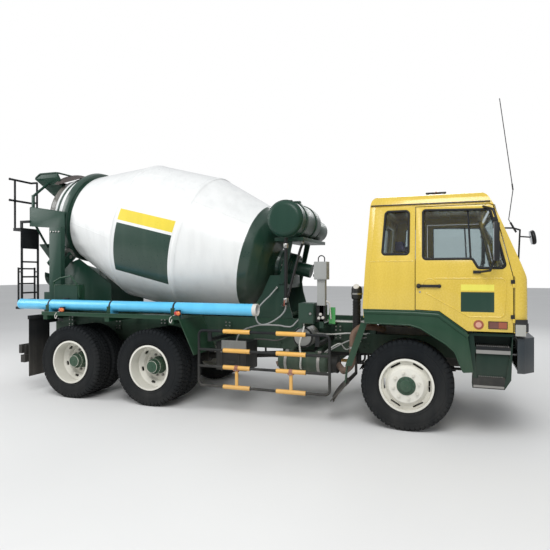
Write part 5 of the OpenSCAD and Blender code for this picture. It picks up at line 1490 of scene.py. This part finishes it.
def makeTanks():
    dressCopy("side_tanks", "chassis", "dark_green_paint", 0.006)
    shapes = []
    for x in (-1.48, -1.06):
        shapes.append(bandRound(lying(x, -0.860, 0.660), 0.125, 0.036, "wornSteel"))
        shapes.append(block((x - 0.022, x + 0.022), (-0.895, -0.845), (0.782, 0.806), "wornSteel", 0.004))
    drain = revolve([(0.0, -0.03), (0.012, -0.03), (0.012, -0.012), (0.018, -0.01), (0.018, 0.006),
                     (0, 0.006)],
                    "wornSteel", 16, 30)
    shapes.append(moved(drain, Matrix.Translation(place(-1.27, -0.86, 0.535))))
    # Fuel tank straps and filler on the left
    for x in (-1.86, -1.28):
        loop = [place(x, 0.615, 0.436), place(x, 1.125, 0.436), place(x, 1.125, 1.024),
                place(x, 0.615, 1.024)]
        for shift in (-0.018, 0.0, 0.018):
            shapes.append(tube([p + Vector((shift, 0, 0)) for p in loop], 0.006, "trimBlack", 0.055, 8,
                               True))
    cap = [(0.0, 0.05), (0.045, 0.05), (0.055, 0.042), (0.055, 0.012), (0.046, 0.006), (0.046, -0.02),
           (0.0, -0.02)]
    shapes.append(moved(revolve(cap, "wornSteel", 32, 30), Matrix.Translation(place(-1.17, 0.98, 1.022))))
    makePiece("tank_fittings", "chassis", "grey_metal", *shapes)


def pipeRule(centre):
    return "trimBlack" if centre.z < 2.186 and centre.y < -0.77 else None


def makeWaterTank():
    dressCopy("water_tank", "chassis", "dark_green_paint", 0.003, rule=pipeRule)
    shapes = []
    across = Matrix.Rotation(-math.pi / 2, 4, "X")
    for y in (-0.655, -0.205):
        spot = Matrix.Translation(place(-1.520, y, 2.460)) @ across
        shapes.append(bandRound(spot, 0.2412, 0.052, "frameGreen"))
        shapes.append(block((-1.548, -1.492), (y - 0.022, y + 0.022), (2.698, 2.722), "frameGreen", 0.004))
    seam = Matrix.Translation(place(-1.520, -0.862, 2.460)) @ across
    shapes.append(bandRound(seam, 0.2352, 0.012, "bodyGreen"))
    cap = [(0.0, 0.042), (0.05, 0.042), (0.062, 0.034), (0.062, 0.014), (0.05, 0.008), (0.05, -0.02),
           (0.0, -0.02)]
    shapes.append(moved(revolve(cap, "bodyGreen", 32, 30), Matrix.Translation(place(-1.52, -0.42, 2.694))))
    shapes.append(rod([(-1.575, -0.36, 2.70), (-1.575, -0.36, 2.745), (-1.465, -0.36, 2.745),
                       (-1.465, -0.36, 2.70)], 0.007, "bodyGreen", 0.02, 8))
    valve = [(0.0, -0.03), (0.03, -0.03), (0.034, -0.022), (0.034, 0.022), (0.03, 0.03), (0.0, 0.03)]
    for z in (2.12, 1.42):
        shapes.append(moved(revolve(valve, "wornSteel", 24, 30),
                            Matrix.Translation(place(-1.530, -0.800, z))))
    lever = rod([(-1.530, -0.834, 1.42), (-1.530, -0.862, 1.42), (-1.530, -0.872, 1.35)], 0.006,
                "clampRed", 0.012, 8)
    shapes.append(lever)
    makePiece("tank_bands", "chassis", "dark_green_paint", *shapes)


def controlRule(centre):
    return "ventGrey" if centre.z > 1.402 and centre.y < -0.7 else None


def makeControls():
    dressCopy("control_stand", "chassis", "green_paint", 0.006, rule=controlRule)
    shapes = []
    # Loop handle, lid and hinges of the grey box
    shapes.append(rod([(-1.08, -0.88, 1.905), (-1.08, -0.88, 1.985), (-1.00, -0.88, 1.985),
                       (-1.00, -0.88, 1.905)], 0.007, "trimBlack", 0.04, 10))
    shapes.append(block((-1.114, -0.956), (-0.966, -0.954), (1.700, 1.900), "ventGrey", 0.006))
    for z in (1.74, 1.86):
        shapes.append(rod([(-1.118, -0.962, z - 0.015), (-1.118, -0.962, z + 0.015)], 0.006, "trimBlack", 0,
                          8))
    shapes.append(block((-1.084, -0.986), (-0.925, -0.835), (1.372, 1.692), "ventGrey", 0.006))
    # Dark valve block with pale fittings, and a light green plate, behind the green box
    shapes.append(block((-1.10, -0.985), (-0.90, -0.80), (1.172, 1.372), "trimBlack", 0.010))
    fitting = [(0.0, 0.034), (0.012, 0.034), (0.012, 0.018), (0.019, 0.016), (0.019, 0.0), (0.0, 0.0)]
    for x, z in ((-1.065, 1.215), (-1.015, 1.222), (-1.045, 1.262)):
        shapes.append(standing(revolve(fitting, "paleGrey", 16, 30), (x, -0.90, z), (0, -1, 0)))
    shapes.append(rod([(-1.07, -0.86, 1.365), (-1.07, -0.86, 1.43), (-1.00, -0.86, 1.43),
                       (-0.95, -0.84, 1.40), (-0.94, -0.80, 1.20)], 0.009, "paleGrey", 0.03, 10))
    shapes.append(block((-0.975, -0.895), (-0.76, -0.745), (1.135, 1.342), "lightGreen", 0.003))
    shapes.append(block((-1.02, -0.44), (-0.66, -0.62), (1.150, 1.166), "paleGrey", 0.003))
    shapes.append(block((-0.98, -0.93), (-0.76, -0.44), (1.120, 1.140), "frameGreen", 0.003))
    for z in (1.24, 1.34):
        shapes.append(rod([(-1.302, -0.965, z - 0.02), (-1.302, -0.965, z + 0.02)], 0.006, "frameGreen", 0,
                          8))
    shapes.append(block((-1.292, -1.118), (-1.006, -0.998), (1.160, 1.392), "bodyGreen", 0.004))
    latch = [(0.0, 0.016), (0.014, 0.016), (0.017, 0.010), (0.017, 0.0), (0.0, 0.0)]
    shapes.append(standing(revolve(latch, "wornSteel", 20, 30), (-1.145, -1.006, 1.275), (0, -1, 0)))
    makePiece("control_fittings", "chassis", "grey_metal", *shapes)


def makeIntake():
    # Ribbed intake pipe behind the cab, with a cap and a pale disc
    ribs = []
    for i in range(22):
        z = 1.02 + i * 0.019
        ribs += [(0.044, z), (0.052, z + 0.005), (0.052, z + 0.010), (0.044, z + 0.015)]
    cap = [(0.044, 1.45), (0.060, 1.46), (0.064, 1.48), (0.064, 1.58), (0.050, 1.61), (0.0, 1.62)]
    outline = [(0.0, 0.96), (0.044, 0.96)] + ribs + cap
    shapes = [moved(revolve(outline, "trimBlack", 36, 30), Matrix.Translation(place(-0.610, -0.840, 0.0)))]
    disc = [(0.0, 0.012), (0.030, 0.011), (0.036, 0.006), (0.036, 0.0), (0.0, 0.0)]
    shapes.append(standing(revolve(disc, "paleGrey", 24, 30), (-0.610, -0.878, 1.606), (0, -0.8, 0.6)))
    shapes.append(bandRound(Matrix.Translation(place(-0.610, -0.840, 1.52)), 0.0635, 0.02, "wornSteel"))
    shapes.append(block((-0.632, -0.588), (-0.80, -0.42), (0.955, 0.985), "frameGreen", 0.004))
    makePiece("intake_pipe", "chassis", "trim_plastic", *shapes)


def smoothRoute(points, pieces=8):
    # Smooth curve through the given points
    p = [Vector(q) for q in points]
    p = [p[0] * 2 - p[1]] + p + [p[-1] * 2 - p[-2]]
    out = []
    for a, b, c, d in zip(p, p[1:], p[2:], p[3:]):
        for i in range(pieces):
            t = i / pieces
            out.append(0.5 * ((2 * b) + (c - a) * t + (2 * a - 5 * b + 4 * c - d) * t * t
                              + (3 * b - a - 3 * c + d) * t ** 3))
    return out + [p[-2]]


hoseTable = {
    "hose_drop": dict(radius=0.0102, paint="hoseGrey", lay="hanging", points=[
        (-1.530, -0.800, 1.3608), (-1.530, -0.800, 1.336), (-1.550, -0.800, 1.280), (-1.605, -0.800, 1.215),
        (-1.700, -0.800, 1.150), (-1.800, -0.800, 1.105), (-1.885, -0.790, 1.100), (-1.945, -0.770, 1.145),
        (-1.965, -0.740, 1.230), (-1.945, -0.695, 1.315), (-1.895, -0.640, 1.390), (-1.840, -0.570, 1.460),
        (-1.795, -0.500, 1.535), (-1.780, -0.450, 1.565), (-1.780, -0.4352, 1.565)]),
    "hose_drive": dict(radius=0.0172, paint="hoseBlack", lay="hanging", points=[
        (-1.400, -0.500, 2.1898), (-1.400, -0.500, 2.160), (-1.440, -0.500, 2.050), (-1.520, -0.500, 1.760),
        (-1.590, -0.500, 1.500), (-1.625, -0.495, 1.410), (-1.665, -0.470, 1.350), (-1.680, -0.445, 1.340),
        (-1.680, -0.4352, 1.340)]),
    "hose_battery": dict(radius=0.0092, paint="hoseGrey", lay="hanging", points=[
        (-1.3002, -0.900, 1.190), (-1.325, -0.900, 1.190), (-1.365, -0.900, 1.150), (-1.420, -0.900, 1.100),
        (-1.500, -0.900, 1.095), (-1.600, -0.900, 1.107), (-1.835, -0.900, 1.103), (-1.960, -0.900, 1.075),
        (-2.065, -0.900, 1.035), (-2.145, -0.890, 0.970), (-2.180, -0.880, 0.900),
        (-2.180, -0.880, 0.8702)]),
    "hose_air": dict(radius=0.0112, paint="hosePale", lay="hanging", points=[
        (-1.235, -0.985, 1.1498), (-1.235, -0.985, 1.110), (-1.245, -1.000, 1.040), (-1.280, -1.015, 0.900),
        (-1.262, -1.025, 0.760), (-1.266, -1.030, 0.665), (-1.268, -1.021, 0.615), (-1.268, -0.999, 0.600),
        (-1.268, -0.9748, 0.6099)]),
}


# Profile of the pressed sleeve at a hose's ends: shares of its radius, and heights
ferrule = ((0.9, 0.0), (1.35, 0.0), (1.35, 0.022), (1.15, 0.030), (0.9, 0.030), (0.9, 0.0))


def makeHoses():
    for name, facts in hoseTable.items():
        route = smoothRoute([place(*p) for p in facts["points"]])
        body = tube(route, facts["radius"], facts["paint"], 0, 14)
        ferrules = []
        ring = [(facts["radius"] * share, height) for share, height in ferrule]
        for a, b in ((route[0], route[6]), (route[-1], route[-4])):
            way = (b - a).normalized()
            ferrules.append(moved(revolve(ring, "wornSteel", 12, 30), toward(a, way)))
        hose = makePiece(name, "chassis", "rubber_sheet", body)
        ends = makePiece(name + "_ends", "chassis", "grey_metal", *ferrules)
        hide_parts("hoses")


def saddleRule(centre):
    return "fenderGreen" if centre.z < 1.2345 or abs(centre.y + 1.105) > 0.0752 else None


def makePipe():
    dressCopy("side_pipe", "chassis", "blue_plastic", 0.003, rule=saddleRule)
    shapes = []
    spot = lying(0, -1.105, 1.310)
    end = [(0.066, -1.799), (0.0745, -1.799), (0.0762, -1.803), (0.0762, -1.846), (0.0752, -1.852),
           (0.066, -1.852), (0.066, -1.799)]
    shapes.append(moved(revolve(end, "paleGrey", 56, 40), spot))
    back = [(0.066, -5.622), (0.0745, -5.622), (0.0762, -5.618), (0.0762, -5.590), (0.0752, -5.584),
            (0.066, -5.584), (0.066, -5.622)]
    shapes.append(moved(revolve(back, "pipeBlue", 56, 40), spot))
    for x in (-2.960, -3.970, -5.040):
        band = [(0.0752, x - 0.014), (0.0785, x - 0.012), (0.0785, x + 0.012), (0.0752, x + 0.014),
                (0.0740, x), (0.0752, x - 0.014)]
        shapes.append(moved(revolve(band, "trimBlack", 56, 40), spot))
    # Marker lamps along the fender, each with a loop of pale cable
    for x in (-4.740, -2.860):
        shapes.append(block((x - 0.027, x + 0.027), (-1.243, -1.196), (1.212, 1.290), "trimBlack", 0.010))
        for shift, paint in ((-0.030, "signalRed"), (0.030, "signalOrange")):
            dome = standing(lens(0.028, 0.020, paint), (x + shift * 0.55, -1.242, 1.250), (shift * 8, -1, 0))
            shapes.append(dome)
        loop = smoothRoute([place(x - 0.026, -1.220, 1.23), place(x - 0.070, -1.235, 1.215),
                            place(x - 0.105, -1.240, 1.190), place(x - 0.115, -1.2435, 1.150),
                            place(x - 0.095, -1.2435, 1.125), place(x - 0.080, -1.236, 1.170)], 5)
        shapes.append(tube(loop, 0.0055, "paleGrey", 0, 8))
    makePiece("pipe_bands", "chassis", "blue_plastic", *shapes)


exhaust = {
    "radius": 0.038,
    "points": [(-0.370, -0.326, 1.040), (-0.390, -0.760, 1.110), (-0.530, -1.060, 1.150),
               (-0.612, -1.080, 1.050), (-0.615, -1.080, 0.700), (-0.720, -1.050, 0.600),
               (-0.895, -0.580, 0.600)],
}


def makeExhaust():
    pipe = rod(exhaust["points"], exhaust["radius"], "rustBrown", 0.14, 20)
    spot = lying(0, -0.570, 0.600)
    can = [(0.0, -1.322), (0.090, -1.320), (0.108, -1.308), (0.113, -1.300), (0.113, -1.285),
           (0.110, -1.280), (0.110, -0.920), (0.113, -0.915), (0.113, -0.900), (0.108, -0.892),
           (0.090, -0.880), (0.0, -0.878)]
    shapes = [pipe, moved(revolve(can, "chassisBlack", 56, 30), spot)]
    for x in (-1.220, -0.980):
        shapes.append(bandRound(lying(x, -0.570, 0.600), 0.1095, 0.032, "chassisBlack"))
    shapes.append(block((-1.240, -1.200), (-0.590, -0.470), (0.700, 0.735), "chassisBlack", 0.004))
    shapes.append(block((-1.240, -1.200), (-0.490, -0.470), (0.730, 0.790), "chassisBlack", 0.004))
    tail = rod([(-1.318, -0.570, 0.600), (-1.62, -0.570, 0.600), (-1.72, -0.62, 0.560)], 0.036,
               "rustBrown", 0.06, 18)
    shapes.append(tail)
    clamp = [(0.038, -0.014), (0.046, -0.012), (0.046, 0.012), (0.038, 0.014), (0.036, 0.0), (0.038, -0.014)]
    for x in (-0.612, -0.615):
        spot = Matrix.Translation(place(x, -1.080, 0.90))
        shapes.append(moved(revolve(clamp, "wornSteel", 24, 30), spot))
    pipeWork = makePiece("exhaust_pipe", "chassis", "rusty_steel", *shapes)
    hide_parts("exhaust")


flap = {
    "rows": 12, "columns": 8, "thick": 0.010, "top": (-0.628, 0.900, 0.508), "width": 0.285,
    "turn": 0.075, "back": 0.185, "sag": 0.018, "drop": 0.235, "ripple": 0.006,
}


def flapSpot(i, j, layer):
    t, k = i / flap["rows"], j / flap["columns"]
    x, y, z = flap["top"]
    x = x - flap["turn"] * (1 - k) - flap["back"] * t - flap["sag"] * math.sin(t * math.pi) - layer
    z = z - flap["drop"] * t - flap["ripple"] * math.cos(k * 7) * t
    return place(x, y + flap["width"] * k, z)


def makeFlapSheets():
    # Rubber flaps behind the front wheels hang back and turn a little outward
    sheetMesh = closedSheet(flap["rows"], flap["columns"], flapSpot, (0.0, flap["thick"]), "sheetRubber", 40)
    makePiece("front_flaps", "chassis", "rubber_sheet", *bothSides(sheetMesh))


def makeFenders():
    dressCopy("rear_fenders", "chassis", "green_paint", 0.003)
    dressCopy("mud_flaps", "chassis", "rubber_sheet", 0.002)
    shapes = []
    lip = rod([(-5.098, 1.236, 1.212), (-2.832, 1.236, 1.212)], 0.008, "fenderGreen", 0, 8)
    shapes.append(lip)
    shapes.append(boltRow((-5.361, 0.90, 1.09), (-1, 0, 0), 4, (0, 0.085, 0), 0.012, 0.010))
    strip = block((-5.366, -5.358), (0.835, 1.215), (1.070, 1.110), "wornSteel", 0.002)
    shapes.append(strip)
    shapes.append(block((-5.3645, -5.3585), (0.91, 1.14), (0.62, 0.80), "paleGrey", 0.002))
    shapes.append(standing(lens(0.030, 0.014, "signalRed"), (-5.361, 1.02, 0.92), (-1, 0, 0)))
    makePiece("fender_lips", "chassis", "green_paint", *bothSides(*shapes))
    # Locker door, hinge and latch
    parts = [block((-5.075, -4.655), (-1.0185, -1.0085), (1.200, 1.585), "bodyGreen", 0.004)]
    parts.append(rod([(-5.06, -1.016, 1.590), (-4.67, -1.016, 1.590)], 0.007, "frameGreen", 0, 8))
    parts.append(rod([(-4.90, -1.018, 1.40), (-4.90, -1.040, 1.40), (-4.80, -1.040, 1.40),
                      (-4.80, -1.018, 1.40)], 0.006, "trimBlack", 0.012, 8))
    makePiece("locker_door", "chassis", "green_paint", *parts)


# Wiring and air lines along the right rail
wiring = (
    ([(-0.55, -0.50, 0.99), (-0.75, -0.62, 1.01), (-0.98, -0.64, 0.99), (-1.20, -0.66, 1.00)],
     0.010, "hosePale"),
    ([(-0.55, -0.50, 0.95), (-0.72, -0.66, 0.93), (-0.90, -0.70, 0.84), (-1.02, -0.72, 0.76),
      (-1.02, -0.74, 0.735)], 0.009, "hoseGrey"),
    ([(-0.62, -0.50, 0.90), (-0.78, -0.60, 0.80), (-0.86, -0.66, 0.88), (-1.00, -0.70, 0.80),
      (-1.06, -0.72, 0.744)], 0.008, "hosePale"),
    ([(-1.58, -0.475, 0.93), (-1.75, -0.50, 0.86), (-1.95, -0.53, 0.87), (-2.06, -0.57, 0.868)],
     0.010, "hoseBlack"),
)


def makeFrameTrim():
    for name in ("frame_rails", "subframe"):
        dressCopy(name, "chassis", "dark_green_paint", 0.003)
    shapes = []
    # Pairs of bolts on the frame rails, and bolted plates between the rails and the subframe
    for x in (-0.56, -1.75, -2.65, -3.97, -5.10):
        for z in (0.815, 0.875):
            spot = (x - 0.03, 0.470, z)
            shapes.append(boltRow(spot, (0, 1, 0), 2, (0.06, 0, 0), 0.013, 0.012, "frameGreen"))
    for x in (-0.92, -2.50, -3.55, -4.35, -5.25):
        plate = block((x - 0.05, x + 0.05), (0.470, 0.478), (0.90, 1.10), "frameGreen", 0.002)
        shapes.append(plate)
        for z in (0.93, 0.965, 1.03, 1.075):
            shapes.append(boltRow((x - 0.028, 0.478, z), (0, 1, 0), 2, (0.056, 0, 0), 0.012, 0.011))
    shapes = bothSides(*shapes)
    for points, radius, paint in wiring:
        shapes.append(tube(smoothRoute([place(*p) for p in points], 6), radius, paint, 0, 10))
    makePiece("frame_fittings", "chassis", "dark_green_paint", *shapes)


makeGuards()
makeBattery()
makeTanks()
makeWaterTank()
makeControls()
makeIntake()
makeHoses()
makePipe()
makeExhaust()
makeFlapSheets()
makeFenders()
makeFrameTrim()
makeRearEnd()
print("middle made")
